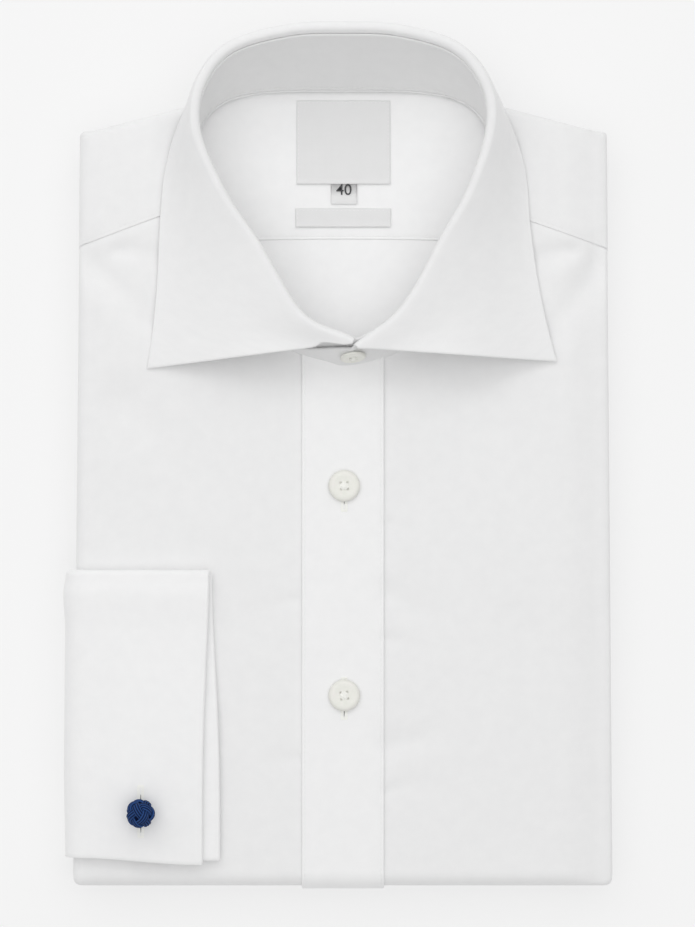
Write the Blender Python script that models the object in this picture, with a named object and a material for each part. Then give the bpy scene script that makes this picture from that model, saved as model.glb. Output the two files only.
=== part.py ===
"""A long sleeve dress shirt, folded for display and lying on its back.

The shirt lies on z = 0 with its front up: +X to the viewer's right, +Y to the collar.
Its hidden layers are one rounded solid. The pieces that show are walls of cloth that
follow it: two fronts, placket, yoke, inner yoke and back, collar band and leaf, and a
turned-back cuff whose sleeve goes round the left side. Lengths below are millimetres.
"""
import math

import bmesh
import bpy
from mathutils import Vector

MM = 0.001

# Folded body
HEM_Y = -182.9
LEFT_BOTTOM, LEFT_TOP = -114.3, -111.2
RIGHT_BOTTOM, RIGHT_TOP = 117.5, 114.9
SHOULDER_Y = 140.2
SHOULDER_LINE = ((68.0, 152.7), (49.0, 158.3), (30.0, 161.0), (2.4, 161.8),
                 (-25.0, 161.0), (-44.0, 158.3), (-62.5, 152.7))
SKIN_TOP = 19.0
ROLL = 6.0
ROLL_Z = SKIN_TOP - ROLL
TUCK_LIMIT = math.radians(157)
TUCK_LENGTH = 12.6
WRAP_STEPS = (3.0, 6.5, 10.3, 16.0)
CLOTH = 1.2
SEAM_GAP = 0.3
CORE_GAP = 0.6

# Soft swelling of the folded body, from the chest down
CROWN = 1.0
CROWN_X, CROWN_HALF_WIDTH = 1.6, 114.0
CROWN_START_Y, CROWN_RAMP, CROWN_HEM_RAMP = 30.0, 90.0, 60.0

# Lower plies of the folded body: how far each level lies in from the outline, and its height
PLY_LEVELS = ((5.5, 6.8), (3.7, 5.9), (3.2, 4.9), (3.9, 3.7), (5.2, 3.3),
              (3.6, 2.7), (3.0, 1.5), (3.8, 0.3), (4.8, 0.0))
SLEEVE_POCKET = 18.0
POCKET_TOP_Z = 3.4
CORE_RADIUS = ROLL - CLOTH - CORE_GAP
CORE_ANGLES = tuple(math.radians(degrees) for degrees in (35, 65, 90, 120, 150))

# Neck
NECK_X, NECK_Y = 2.4, 110.0
NECK_HALF_WIDTH = 64.6
NECK_FRONT, NECK_BACK = 68.0, 49.3
NECK_FRONT_POWER, NECK_BACK_POWER = 1.8, 5.0
INNER_TOP = 15.4
INNER_RISE = 1.3
INNER_MARGIN = 4.0
YOKE_SEAM_Y = 94.0
YOKE_SEAM_LEFT = (-111.0, 93.4, 0.349)
YOKE_SEAM_RIGHT = (115.6, 92.5, -0.326)

# Collar: station along the neck from the front (0) to the back (1), ridge, outer edge,
# and the leaf's slope in degrees just under the ridge and at its edge
COLLAR_COLUMNS = ("along", "ridge_x", "ridge_y", "ridge_z", "edge_x", "edge_y", "edge_z",
                  "fall", "lay")
COLLAR_RIGHT = (
    (0.000, 3.0, 49.6, 38.0, 93.2, 42.7, 20.6, 16, 5),
    (0.147, 26.4, 64.1, 38.0, 89.2, 61.0, 20.7, 22, 8),
    (0.282, 43.4, 91.7, 39.0, 85.2, 81.5, 20.7, 32, 12),
    (0.410, 56.1, 112.8, 41.0, 82.5, 102.0, 20.7, 48, 16),
    (0.573, 65.0, 140.0, 43.3, 80.3, 124.5, 20.6, 62, 20),
    (0.662, 63.3, 159.4, 45.0, 73.0, 146.5, 20.6, 68, 34),
    (0.753, 50.5, 175.3, 46.5, 62.0, 165.0, 12.0, 78, 66),
    (0.875, 26.3, 183.4, 48.0, 32.0, 183.8, 5.6, 85, 86),
)
COLLAR_BACK = (1.000, 2.4, 184.7, 48.0, 2.4, 186.1, 4.6, 86, 91)
COLLAR_LEFT = (
    (0.000, 1.6, 48.6, 37.2, -81.1, 40.5, 20.6, 16, 5),
    (0.147, -18.0, 61.0, 38.0, -79.3, 60.0, 20.7, 22, 8),
    (0.282, -37.5, 93.8, 39.0, -77.6, 81.5, 20.7, 32, 12),
    (0.410, -51.0, 116.0, 41.0, -76.6, 103.0, 20.7, 48, 16),
    (0.573, -60.7, 140.0, 43.3, -74.2, 125.0, 20.6, 62, 20),
    (0.662, -58.9, 159.8, 45.0, -67.5, 146.5, 20.6, 68, 34),
    (0.753, -46.5, 175.3, 46.5, -57.0, 165.0, 12.0, 78, 66),
    (0.875, -21.5, 183.4, 48.0, -27.0, 183.8, 5.6, 85, 86),
)
BAND_BASE_Z = 19.75
BAND_FRONT_RISE = 1.6
BAND_SIDESTEP = 1.5
BAND_CLOTH = 1.5
LEAF_CLOTH = 1.4
LEAF_INSIDE = 3.2
LEAF_ROLL = 1.5
STEPS_PER_ROW = 3

# Placket and buttons
PLACKET_LEFT, PLACKET_RIGHT = -15.6, 19.7
PLACKET_CLOTH = 1.1
BUTTON_X = 2.6
BUTTON_YS = (-11.0, -101.0)
BUTTON_DIAMETER = 13.6
COLLAR_BUTTON_DIAMETER = 11.2
BUTTON_HEIGHT = 2.6
BUTTON_HOLE_SPREAD = 1.55
BUTTON_HOLE_RADIUS = 0.85

# Double cuff, on the viewer's left
CUFF_TOP_Y, CUFF_BOTTOM_Y = -47.0, -172.0
CUFF_CLOTH = 1.0
CUFF_INNER_LEAF, CUFF_OUTER_LEAF = 0.8, 2.1
CUFF_CENTRE = 2.9
CUFF_PUFF = 1.2
CUFF_PUFF_LENGTH = 14.0
CUFF_EDGE_FRONT = (-58.1, -55.3)
CUFF_EDGE_BACK = (-54.2, -50.7)
CUFF_SIDE_END = 14.0
CUFF_LIFT = 6.1
SIDE_SQUEEZE = 2.6
SQUEEZE_RAMP = 6.0
SQUEEZE_X, SQUEEZE_FADE = -80.0, 20.0
SIDE_FOOT = 3.0
SLEEVE_END_X = -92.0
SLEEVE_INNER, SLEEVE_OUTER = 1.6, 4.2
SLIT_LENGTH, SLIT_WIDTH = 22.0, 3.4

# Cufflink
KNOT_X, KNOT_Y = -85.0, -151.7
KNOT_RADIUS = 6.1
KNOT_DENT = 7.0
KNOT_DENT_WIDTH = 14.0
LINK_RADIUS = 1.1

# Labels inside the neck: left, right, bottom, top
LABELS = {
    "main_label": (-18.0, 22.4, 118.9, 154.0),
    "size_tab": (-3.1, 8.1, 110.3, 118.5),
    "lower_label": (-18.4, 22.7, 100.4, 108.5),
}
LABEL_CLOTH = 1.0

# Largest soft folds of the fronts: from, to, depth and width
FOLD_COLUMNS = ("x0", "y0", "x1", "y1", "depth", "width")
FOLDS = (
    (-112, 90, -84, 62, 1.3, 7),
    (115, 88, 94, 58, 1.2, 7),
    (-92, 24, -62, -16, 0.8, 10),
    (60, 34, 88, -30, 0.7, 13),
    (22, -58, 38, -66, 0.6, 6),
    (22, -123, 40, -119, 0.6, 6),
)

WHITE = (0.86, 0.86, 0.87)
IVORY = (0.80, 0.78, 0.72)
NAVY = (0.014, 0.03, 0.11)
LABEL_GREY = (0.70, 0.70, 0.70)


def material(name, colour, roughness):
    made = bpy.data.materials.new(name)
    made.use_nodes = True
    shader = made.node_tree.nodes["Principled BSDF"]
    shader.inputs["Base Color"].default_value = (*colour, 1.0)
    shader.inputs["Roughness"].default_value = roughness
    shader.inputs["Metallic"].default_value = 0.0
    return made


def smooth(value):
    """0 below 0, 1 above 1, with a soft step between."""
    value = min(1.0, max(0.0, value))
    return value * value * (3.0 - 2.0 * value)


def mix(first, second, part):
    return first + (second - first) * part


# ---------------------------------------------------------------- the folded body's skin

def outline():
    """Plan outline, anticlockwise from the bottom left corner."""
    corners = [(LEFT_BOTTOM, HEM_Y), (RIGHT_BOTTOM, HEM_Y), (RIGHT_TOP, SHOULDER_Y)]
    corners += list(SHOULDER_LINE)
    corners.append((LEFT_TOP, SHOULDER_Y))
    return [Vector(corner) for corner in corners]


def inset(polygon, distance):
    """The convex polygon with every side moved inward."""
    moved = []
    for index, corner in enumerate(polygon):
        before = (corner - polygon[index - 1]).normalized()
        after = (polygon[(index + 1) % len(polygon)] - corner).normalized()
        inward = Vector((-before.y, before.x)) + Vector((-after.y, after.x))
        moved.append(corner + inward * distance / (1.0 + before.dot(after)))
    return moved


INNER_OUTLINE = inset(outline(), ROLL)


def foot_on(polygon, place):
    """Nearest point of the polygon's edge, and whether the place lies inside."""
    best, inside = None, True
    for index, start in enumerate(polygon):
        end = polygon[(index + 1) % len(polygon)]
        along = end - start
        if along.x * (place.y - start.y) - along.y * (place.x - start.x) < 0.0:
            inside = False
        part = min(1.0, max(0.0, (place - start).dot(along) / along.length_squared))
        foot = start + along * part
        if best is None or (place - foot).length < (place - best).length:
            best = foot
    return best, inside


def height_at(polygon, x, top=True):
    """Upper or lower y of the polygon at x."""
    hits = []
    for index, start in enumerate(polygon):
        end = polygon[(index + 1) % len(polygon)]
        low, high = min(start.x, end.x), max(start.x, end.x)
        if low <= x <= high and high > low:
            hits.append(mix(start.y, end.y, (x - start.x) / (end.x - start.x)))
    return max(hits) if top else min(hits)


def side_at(polygon, y, left=True):
    """Left or right x of the polygon at y."""
    hits = []
    for index, start in enumerate(polygon):
        end = polygon[(index + 1) % len(polygon)]
        low, high = min(start.y, end.y), max(start.y, end.y)
        if low <= y <= high and high > low:
            hits.append(mix(start.x, end.x, (y - start.y) / (end.y - start.y)))
    return min(hits) if left else max(hits)


def squeeze(y):
    """How far the cuff presses the left side in."""
    below = smooth((y - CUFF_BOTTOM_Y + SQUEEZE_RAMP + 1.0) / SQUEEZE_RAMP)
    above = smooth((CUFF_TOP_Y + SQUEEZE_RAMP + 3.0 - y) / SQUEEZE_RAMP)
    return SIDE_SQUEEZE * below * above


def press(x, y):
    """Move to the right of a place on the left side, under the cuff."""
    return squeeze(y) * smooth((SQUEEZE_X - x) / SQUEEZE_FADE)


def fold_depth(x, y):
    total = 0.0
    for fold in FOLDS:
        row = dict(zip(FOLD_COLUMNS, fold))
        start, end = Vector((row["x0"], row["y0"])), Vector((row["x1"], row["y1"]))
        along = end - start
        part = (Vector((x, y)) - start).dot(along) / along.length_squared
        clamped = min(1.0, max(0.0, part))
        away = (Vector((x, y)) - start - along * clamped).length
        total += row["depth"] * math.exp(-(away / row["width"]) ** 2) * (1.0 - 0.6 * clamped)
    return total


def crown(x, y):
    """Soft swelling of the folded body, nought near the neck and at the edges."""
    across = 1.0 - ((x - CROWN_X) / CROWN_HALF_WIDTH) ** 2
    along = smooth((CROWN_START_Y - y) / CROWN_RAMP) * smooth((y - HEM_Y) / CROWN_HEM_RAMP)
    return CROWN * max(0.0, across) * along


def knot_dent(x, y):
    away = math.hypot(x - KNOT_X, y - KNOT_Y)
    return KNOT_DENT * math.exp(-(away / KNOT_DENT_WIDTH) ** 2)


def relief(x, y):
    return crown(x, y) - fold_depth(x, y) - knot_dent(x, y)


def skin(x, y, lift, form=relief):
    """Point on the body's rounded skin at a place on the flat cloth, raised by lift."""
    place = Vector((x, y))
    foot, inside = foot_on(INNER_OUTLINE, place)
    if inside:
        point = Vector((x, y, SKIN_TOP + form(x, y) + lift))
    else:
        away = place - foot
        angle = TUCK_LIMIT * math.tanh(away.length / TUCK_LENGTH)
        away.normalize()
        reach = (ROLL + lift) * math.sin(angle)
        rise = (ROLL + lift + form(foot.x, foot.y) * smooth(math.cos(angle))) * math.cos(angle)
        point = Vector((foot.x + away.x * reach, foot.y + away.y * reach, ROLL_Z + rise))
    point.x += press(point.x, point.y)
    return point


# ---------------------------------------------------------------- the neck

def neck_point(side, angle):
    """Neck seam from the front centre (0) to the back centre (pi); side is 1 or -1."""
    front = angle < math.pi / 2
    power = NECK_FRONT_POWER if front else NECK_BACK_POWER
    depth = NECK_FRONT if front else NECK_BACK
    sine, cosine = abs(math.sin(angle)), abs(math.cos(angle))
    x = NECK_X + side * NECK_HALF_WIDTH * sine ** (2.0 / power)
    y = NECK_Y - math.copysign(depth, math.cos(angle)) * cosine ** (2.0 / power)
    return Vector((x, y))


def neck_steps(side, count=400):
    points = [neck_point(side, math.pi * step / count) for step in range(count + 1)]
    lengths = [0.0]
    for before, after in zip(points, points[1:]):
        lengths.append(lengths[-1] + (after - before).length)
    return points, lengths


NECK = {side: neck_steps(side) for side in (1, -1)}


def neck_at(side, along):
    """Neck seam at a share of the half neck's length."""
    points, lengths = NECK[side]
    goal = min(1.0, max(0.0, along)) * lengths[-1]
    for index in range(1, len(points)):
        if lengths[index] >= goal:
            part = (goal - lengths[index - 1]) / (lengths[index] - lengths[index - 1])
            return points[index - 1].lerp(points[index], part)
    return points[-1]


def neck_y(x, front, inward=0.9):
    """y of the cloth's edge under the band, a little inside the seam."""
    half = NECK_HALF_WIDTH - inward
    power = NECK_FRONT_POWER if front else NECK_BACK_POWER
    share = min(1.0, abs(x - NECK_X) / half)
    rise = (1.0 - share ** power) ** (1.0 / power)
    if front:
        return NECK_Y - (NECK_FRONT - inward) * rise
    return NECK_Y + (NECK_BACK - inward) * rise


def neck_reach(x, y):
    """0 at the neck's centre, 1 on the seam, more outside."""
    front = y < NECK_Y
    power = NECK_FRONT_POWER if front else NECK_BACK_POWER
    depth = NECK_FRONT if front else NECK_BACK
    total = abs((x - NECK_X) / NECK_HALF_WIDTH) ** power + abs((y - NECK_Y) / depth) ** power
    return total ** (1.0 / power)


def inner_height(x, y):
    """Top of the inner yoke and back: low in the middle, rising towards the seam."""
    return INNER_TOP + INNER_RISE * smooth((neck_reach(x, y) - 0.45) / 0.5)


def core_height(x, y):
    """Top of the hidden layers: under the fronts, and lower inside the neck."""
    under_front = SKIN_TOP + relief(x, y) - CLOTH - CORE_GAP - 0.25 * knot_dent(x, y)
    under_inner = inner_height(x, y) - CLOTH - 1.6 * CORE_GAP
    outside = smooth((neck_reach(x, y) - 1.16) / 0.12)
    return min(under_front, mix(under_inner, SKIN_TOP, outside))


# ---------------------------------------------------------------- mesh helpers

def finish(name, mesh, colour):
    bmesh.ops.recalc_face_normals(mesh, faces=mesh.faces)
    data = bpy.data.meshes.new(name)
    mesh.to_mesh(data)
    mesh.free()
    data.materials.append(colour)
    data.shade_smooth()
    data.set_sharp_from_angle(angle=math.radians(40))
    made = bpy.data.objects.new(name, data)
    bpy.context.scene.collection.objects.link(made)
    return made


def add_grid(mesh, points):
    return [[mesh.verts.new(point * MM) for point in row] for row in points]


def sew(mesh, first, second, closed=False):
    """Quads between two rows of vertices."""
    count = len(first)
    for index in range(count if closed else count - 1):
        after = (index + 1) % count
        mesh.faces.new((first[index], first[after], second[after], second[index]))


def wall(name, outer, inner, colour):
    """A wall of cloth between two grids of points, closed round its rim."""
    mesh = bmesh.new()
    top, under = add_grid(mesh, outer), add_grid(mesh, inner)
    for rows in (top, under):
        for before, after in zip(rows, rows[1:]):
            sew(mesh, before, after)
    for first, second in ((top[0], under[0]), (top[-1], under[-1])):
        sew(mesh, first, second)
    for side in (0, -1):
        sew(mesh, [row[side] for row in top], [row[side] for row in under])
    return finish(name, mesh, colour)


def normals_of(grid):
    """Unit normals of a grid of points by central differences."""
    rows, columns = len(grid), len(grid[0])
    found = []
    for i in range(rows):
        line = []
        for j in range(columns):
            down = grid[min(i + 1, rows - 1)][j] - grid[max(i - 1, 0)][j]
            across = grid[i][min(j + 1, columns - 1)] - grid[i][max(j - 1, 0)]
            line.append(down.cross(across).normalized())
        found.append(line)
    return found


def thick_wall(name, middle, thickness, colour):
    """A wall of even thickness about its middle surface."""
    normals = normals_of(middle)
    halves = []
    for side in (0.5, -0.5):
        halves.append([[point + normal * thickness * side for point, normal in zip(line, row)]
                       for line, row in zip(middle, normals)])
    return wall(name, halves[0], halves[1], colour)


def panel(name, columns, lift, thickness, colour, form=relief):
    """Cloth lying on the body: each column is an x and its list of y values."""
    outer = [[skin(x, y, lift + thickness, form) for y in ys] for x, ys in columns]
    inner = [[skin(x, y, lift, form) for y in ys] for x, ys in columns]
    return wall(name, outer, inner, colour)


# ---------------------------------------------------------------- body pieces

BODY_ROWS = (-173.0, -167.0, -159.0, KNOT_Y, -144.0, -131.0, -110.0, -86.0, -64.0, -45.0,
             -37.0, -24.0, -10.0, 10.0, 32.0)
TOP_SHARES = (0.2, 0.4, 0.6, 0.8, 1.0)
LEFT_COLUMNS = (-101.0, -93.0, KNOT_X, -77.0, -64.0, -48.0, -34.0, -20.0, -9.0, 0.8)
RIGHT_COLUMNS = (1.6, 12.0, 25.0, 41.0, 56.0, 69.0, 82.0, 95.0)


def yoke_seam_y(x):
    """Front yoke seam, bowed a little down at its outer ends."""
    seam_x, seam_y, slope = YOKE_SEAM_LEFT if x < NECK_X else YOKE_SEAM_RIGHT
    away = (x - seam_x) * (1 if x < NECK_X else -1)
    return seam_y + slope * (x - seam_x) - 1.5 * math.exp(-max(0.0, away) / 9.0)


def front_top(x):
    """Upper edge of a front: the yoke seam, then the neck."""
    inside = abs(x - NECK_X) < NECK_HALF_WIDTH - 2.0
    if inside:
        return min(neck_y(x, True), yoke_seam_y(x) - SEAM_GAP)
    return yoke_seam_y(x) - SEAM_GAP


def front_column(x):
    bottom = INNER_OUTLINE[0].y
    top = front_top(x)
    ys = [bottom - step for step in reversed(WRAP_STEPS)]
    ys += [bottom, *BODY_ROWS]
    ys += [mix(BODY_ROWS[-1], top, share) for share in TOP_SHARES]
    return x, ys


def right_front(cloth):
    edge = side_at(INNER_OUTLINE, 0.0)
    xs = [edge - step for step in reversed(WRAP_STEPS)] + [edge] + list(LEFT_COLUMNS)
    columns = [front_column(x) for x in xs]
    return panel("right_front", columns, -CLOTH, CLOTH, cloth)


def left_front(cloth):
    edge = side_at(INNER_OUTLINE, 0.0, left=False)
    xs = list(RIGHT_COLUMNS) + [edge] + [edge + step for step in WRAP_STEPS]
    columns = [front_column(x) for x in xs]
    return panel("left_front", columns, -CLOTH, CLOTH, cloth)


def placket(cloth):
    xs = (PLACKET_LEFT, PLACKET_LEFT + 2.5, NECK_X, PLACKET_RIGHT - 2.5, PLACKET_RIGHT)
    columns = [front_column(x) for x in xs]
    return panel("front_placket", columns, SEAM_GAP, PLACKET_CLOTH, cloth)


def yoke_column(x, low):
    """Rows from the lower edge to the top of the shoulder, then over its roll."""
    across = INNER_OUTLINE[-1].x < x < INNER_OUTLINE[2].x
    top = height_at(INNER_OUTLINE, x) if across else INNER_OUTLINE[2].y
    turn = max(top, low + 1.6)
    ys = [mix(low, turn, step / 3) for step in range(3)] + [turn]
    ys += [max(top, low) + step for step in WRAP_STEPS]
    return x, ys


def yoke(cloth):
    """Outer yoke: from the front seams over the shoulders, with the neck cut out."""
    left, right = side_at(INNER_OUTLINE, 110.0), side_at(INNER_OUTLINE, 110.0, left=False)
    columns = []
    xs = [left - step for step in reversed(WRAP_STEPS)] + [left, -96.0, -80.0, -68.0]
    columns += [yoke_column(x, yoke_seam_y(x)) for x in xs]
    half = NECK_HALF_WIDTH - 0.9
    for step in range(17):
        angle = math.pi * (1.0 - step / 16)
        x = NECK_X + half * math.copysign(abs(math.cos(angle)) ** 0.8, math.cos(angle))
        ends = step in (0, 16)
        low = yoke_seam_y(x) if ends else neck_y(x, False)
        columns.append(yoke_column(x, low))
    xs = [73.0, 86.0, 99.0, right] + [right + step for step in WRAP_STEPS]
    columns += [yoke_column(x, yoke_seam_y(x)) for x in xs]
    return panel("yoke", columns, -CLOTH, CLOTH, cloth)


def inner_sheet(name, columns, cloth):
    outer = [[Vector((x, y, inner_height(x, y))) for y in ys] for x, ys in columns]
    inner = [[point - Vector((0, 0, CLOTH)) for point in line] for line in outer]
    return wall(name, outer, inner, cloth)


def inner_columns(low, high):
    """Columns across the neck between two rules for y, rows evenly shared."""
    columns = []
    half = NECK_HALF_WIDTH + INNER_MARGIN
    for step in range(15):
        x = NECK_X + half * math.sin(math.pi * (step / 14 - 0.5))
        bottom, top = low(x), high(x)
        columns.append((x, [mix(bottom, top, share / 6) for share in range(7)]))
    return columns


def neck_bow(x):
    """Inner yoke seam across the back, arched a little."""
    return YOKE_SEAM_Y + 1.2 * (1.0 - ((x - NECK_X) / 60.0) ** 2)


def inner_yoke(cloth):
    def top(x):
        return min(neck_y(x, False, -1.5), height_at(INNER_OUTLINE, x) + 1.6)
    return inner_sheet("inner_yoke", inner_columns(neck_bow, top), cloth)


def inner_back(cloth):
    def low(x):
        return min(neck_y(x, True, -INNER_MARGIN), high(x) - 3.0)

    def high(x):
        return neck_bow(x) - SEAM_GAP
    return inner_sheet("inner_back", inner_columns(low, high), cloth)


def label(name, box, cloth):
    """A bare woven label on the inner yoke."""
    left, right, bottom, top = box
    outer, inner = [], []
    for step in range(5):
        x = mix(left, right, step / 4)
        ys = [mix(bottom, top, part / 3) for part in range(4)]
        inner.append([Vector((x, y, inner_height(x, y) + SEAM_GAP)) for y in ys])
        outer.append([point + Vector((0, 0, LABEL_CLOTH)) for point in inner[-1]])
    return wall(name, outer, inner, cloth)


CORE_ROWS = (-173.0, -163.0, KNOT_Y, -141.0, -118.0, -82.0, -52.0, -45.0,
             -37.0, -5.0, 28.0, 37.0, 48.0, 64.0, 84.0, 104.0, 122.0)
CORE_SHARES = (0.0, 0.025, 0.07, 0.1065, 0.145, 0.19, 0.24, 0.31, 0.4, 0.5,
               0.6, 0.69, 0.76, 0.82, 0.9, 0.975, 1.0)


def side_line(low, high, y):
    """x at y on the straight side between two corners of the body."""
    return mix(low.x, high.x, (y - low.y) / (high.y - low.y))


def core_places():
    """Grid of places over the body's top: columns across, rows from the hem up."""
    bottom_left, bottom_right, top_right, top_left = (INNER_OUTLINE[i] for i in (0, 1, 2, -1))
    flat = []
    for share in CORE_SHARES:
        x_top = mix(top_left.x, top_right.x, share)
        line = []
        for y in (bottom_left.y, *CORE_ROWS):
            left = side_line(bottom_left, top_left, y)
            right = side_line(bottom_right, top_right, y)
            line.append(Vector((mix(left, right, share), y)))
        top = height_at(INNER_OUTLINE, x_top)
        line += [Vector((x_top, mix(CORE_ROWS[-1], top, part))) for part in (0.35, 0.7, 1.0)]
        flat.append(line)
    return flat


def core_level(places, outs, reach, height):
    """One ring of points round the body's edge, at a reach outside the top and a height."""
    points = []
    for place, out in zip(places, outs):
        spot = place + out * reach
        if out.x < -0.8 and height < POCKET_TOP_Z:
            window = smooth((place.y + 175.0) / 2.0) * smooth((-44.0 - place.y))
            spot = spot - out * SLEEVE_POCKET * window
        low = height
        if height > ROLL_Z:
            bent = relief(place.x, place.y) * (height - ROLL_Z) / CORE_RADIUS
            low = min(height + bent, core_height(place.x, place.y) - 0.05)
        points.append(Vector((spot.x + press(spot.x, spot.y), spot.y, low)))
    return points


def folded_layers(cloth):
    """The hidden layers: shaped top, rolled upper fold and two lower plies."""
    flat = core_places()
    mesh = bmesh.new()
    pressed = [[Vector((p.x + press(p.x, p.y), p.y, core_height(p.x, p.y))) for p in line]
               for line in flat]
    top = add_grid(mesh, pressed)
    for before, after in zip(top, top[1:]):
        sew(mesh, before, after)
    last_i, last_j = len(flat) - 1, len(flat[0]) - 1
    around = [(i, 0) for i in range(last_i)]
    around += [(last_i, j) for j in range(last_j)]
    around += [(i, last_j) for i in range(last_i, 0, -1)]
    around += [(0, j) for j in range(last_j, 0, -1)]
    places = [flat[i][j] for i, j in around]
    outs = []
    for index, place in enumerate(places):
        along = places[(index + 1) % len(places)] - places[index - 1]
        outs.append(Vector((along.y, -along.x)).normalized())
    levels = [(CORE_RADIUS * math.sin(angle), ROLL_Z + CORE_RADIUS * math.cos(angle))
              for angle in CORE_ANGLES]
    levels += [(ROLL - away, height) for away, height in PLY_LEVELS]
    ring = [top[i][j] for i, j in around]
    for reach, height in levels:
        fresh = add_grid(mesh, [core_level(places, outs, reach, height)])[0]
        sew(mesh, ring, fresh, closed=True)
        ring = fresh
    mesh.faces.new(ring)
    return finish("folded_layers", mesh, cloth)


# ---------------------------------------------------------------- collar

def collar_rows():
    """Stations from the left front end (viewer's right) round the back to the other end."""
    rows = [dict(zip(COLLAR_COLUMNS, row), side=1) for row in COLLAR_RIGHT]
    rows.append(dict(zip(COLLAR_COLUMNS, COLLAR_BACK), side=1))
    rows += [dict(zip(COLLAR_COLUMNS, row), side=-1) for row in reversed(COLLAR_LEFT)]
    return rows


def spline(values, place):
    """Catmull-Rom value at a place along evenly numbered values."""
    last = len(values) - 1
    index = min(int(place), last - 1)
    part = place - index
    before = values[index - 1] if index > 0 else values[0] * 2 - values[1]
    after = values[index + 2] if index + 2 <= last else values[last] * 2 - values[last - 1]
    start, end = values[index], values[index + 1]
    first = (end - before) * 0.5
    second = (after - start) * 0.5
    square, cube = part * part, part ** 3
    return (start * (2 * cube - 3 * square + 1) + first * (cube - 2 * square + part)
            + end * (3 * square - 2 * cube) + second * (cube - square))


def base_height(along):
    over_placket = BAND_FRONT_RISE * (1.0 - smooth((along - 0.10) / 0.06))
    return BAND_BASE_Z + over_placket - 0.5 * smooth((along - 0.6) / 0.2)


def sampled_places(rows):
    """Evenly numbered places along the rows, with their steps between."""
    steps = range((len(rows) - 1) * STEPS_PER_ROW + 1)
    return [step / STEPS_PER_ROW for step in steps]


def neck_place(rows, place):
    """Share along the half neck, and the seam's own point there."""
    index = min(int(place), len(rows) - 2)
    along = mix(rows[index]["along"], rows[index + 1]["along"], place - index)
    side = 1 if place <= len(COLLAR_RIGHT) else -1
    return along, neck_at(side, along)


def stations():
    """Sampled collar stations: neck base, ridge, edge, fall, lay and share from the front."""
    rows = collar_rows()
    ridge = [Vector((row["ridge_x"], row["ridge_y"], row["ridge_z"])) for row in rows]
    edge = [Vector((row["edge_x"], row["edge_y"], row["edge_z"])) for row in rows]
    slopes = [Vector((row["fall"], row["lay"], 1.0 - row["along"])) for row in rows]
    found = []
    for place in sampled_places(rows):
        along, spot = neck_place(rows, place)
        fall, lay, front = spline(slopes, place)
        found.append({
            "base": Vector((spot.x, spot.y, base_height(along))),
            "ridge": spline(ridge, place), "edge": spline(edge, place),
            "fall": math.radians(fall), "lay": math.radians(lay),
            "front": min(1.0, max(0.0, front)),
        })
    last = len(found) - 1
    for index, station in enumerate(found):
        along = found[min(index + 1, last)]["ridge"] - found[max(index - 1, 0)]["ridge"]
        station["out"] = Vector((along.y, -along.x, 0.0)).normalized()
    for index, station in enumerate(found):
        from_end = min(index, last - index)
        lap = 1.0 - smooth((from_end - 4.0) / 4.0)
        side = 1 if index < last / 2 else -1
        step = station["out"] * BAND_SIDESTEP * lap * side
        station["base"] = station["base"] + step
        station["ridge"] = station["ridge"] + step
    return found


def standing_line(station):
    """Foot and top of the standing cloth, its direction and its outward normal."""
    base, ridge = station["base"], station["ridge"]
    rise = (ridge - base).normalized()
    for _ in range(2):
        normal = station["out"] - rise * rise.dot(station["out"])
        normal.normalize()
        top = ridge - (Vector((0, 0, 1)) + normal) * LEAF_ROLL
        rise = (top - base).normalized()
    return base, top, rise, normal


def lapped(station, side):
    """The other end's station moved to this side of the lap."""
    step = station["out"] * 2 * BAND_SIDESTEP * side
    return {"base": station["base"] + step, "ridge": station["ridge"] + step,
            "out": station["out"]}


def collar_band(cloth):
    """Band: one strip round the neck, the left front's end lapped over the right's."""
    steps = stations()
    over = [lapped(steps[-4], 1), lapped(steps[-3], 1), lapped(steps[-2], 1)]
    under = [lapped(steps[1], -1), lapped(steps[2], -1), lapped(steps[3], -1)]
    lines = over + steps + under
    heights = (0.0, 0.33, 0.67, 1.0)
    ends = (0.62, 0.92)
    middle = []
    for index, station in enumerate(lines):
        base, top, rise, _ = standing_line(station)
        length = (top - base).length - LEAF_INSIDE - SEAM_GAP
        end = min(index, len(lines) - 1 - index)
        if end < len(ends):
            length *= ends[end]
        middle.append([base + rise * length * part for part in heights])
    return thick_wall("collar_band", middle, BAND_CLOTH, cloth)


def bezier(first, second, third, fourth, part):
    rest = 1.0 - part
    return (first * rest ** 3 + second * 3 * rest * rest * part
            + third * 3 * rest * part * part + fourth * part ** 3)


def leaf_line(station):
    """Middle line of the leaf from the band's top, over the ridge and down to its edge."""
    edge = station["edge"]
    base, top, rise, normal = standing_line(station)
    out = station["out"]
    reach = edge - station["ridge"]
    reach.z = 0.0
    reach = reach.normalized() if reach.length > 3.0 else out.copy()
    ahead = out.lerp(reach, smooth(station["front"] * 1.8)).normalized()
    fall, lay = station["fall"], station["lay"]
    down = ahead * math.cos(fall) - Vector((0, 0, math.sin(fall)))
    arrive = reach * math.cos(lay) - Vector((0, 0, math.sin(lay)))
    plain = out * math.cos(fall) - Vector((0, 0, math.sin(fall)))
    turn = rise.angle(plain)
    line = [top - rise * LEAF_INSIDE]
    for part in (0.0, 0.25, 0.5, 0.75, 1.0):
        angle = turn * part
        line.append(top + (rise * math.sin(angle) + normal * (1 - math.cos(angle))) * LEAF_ROLL)
    over = line[-1]
    far = (edge - over).length
    for part in (0.13, 0.32, 0.54, 0.77, 1.0):
        line.append(bezier(over, over + down * far * 0.34, edge - arrive * far * 0.34, edge, part))
    return line


def collar_leaf(cloth):
    middle = [leaf_line(station) for station in stations()]
    return thick_wall("collar_leaf", middle, LEAF_CLOTH, cloth)


# ---------------------------------------------------------------- cuff and sleeve

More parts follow.
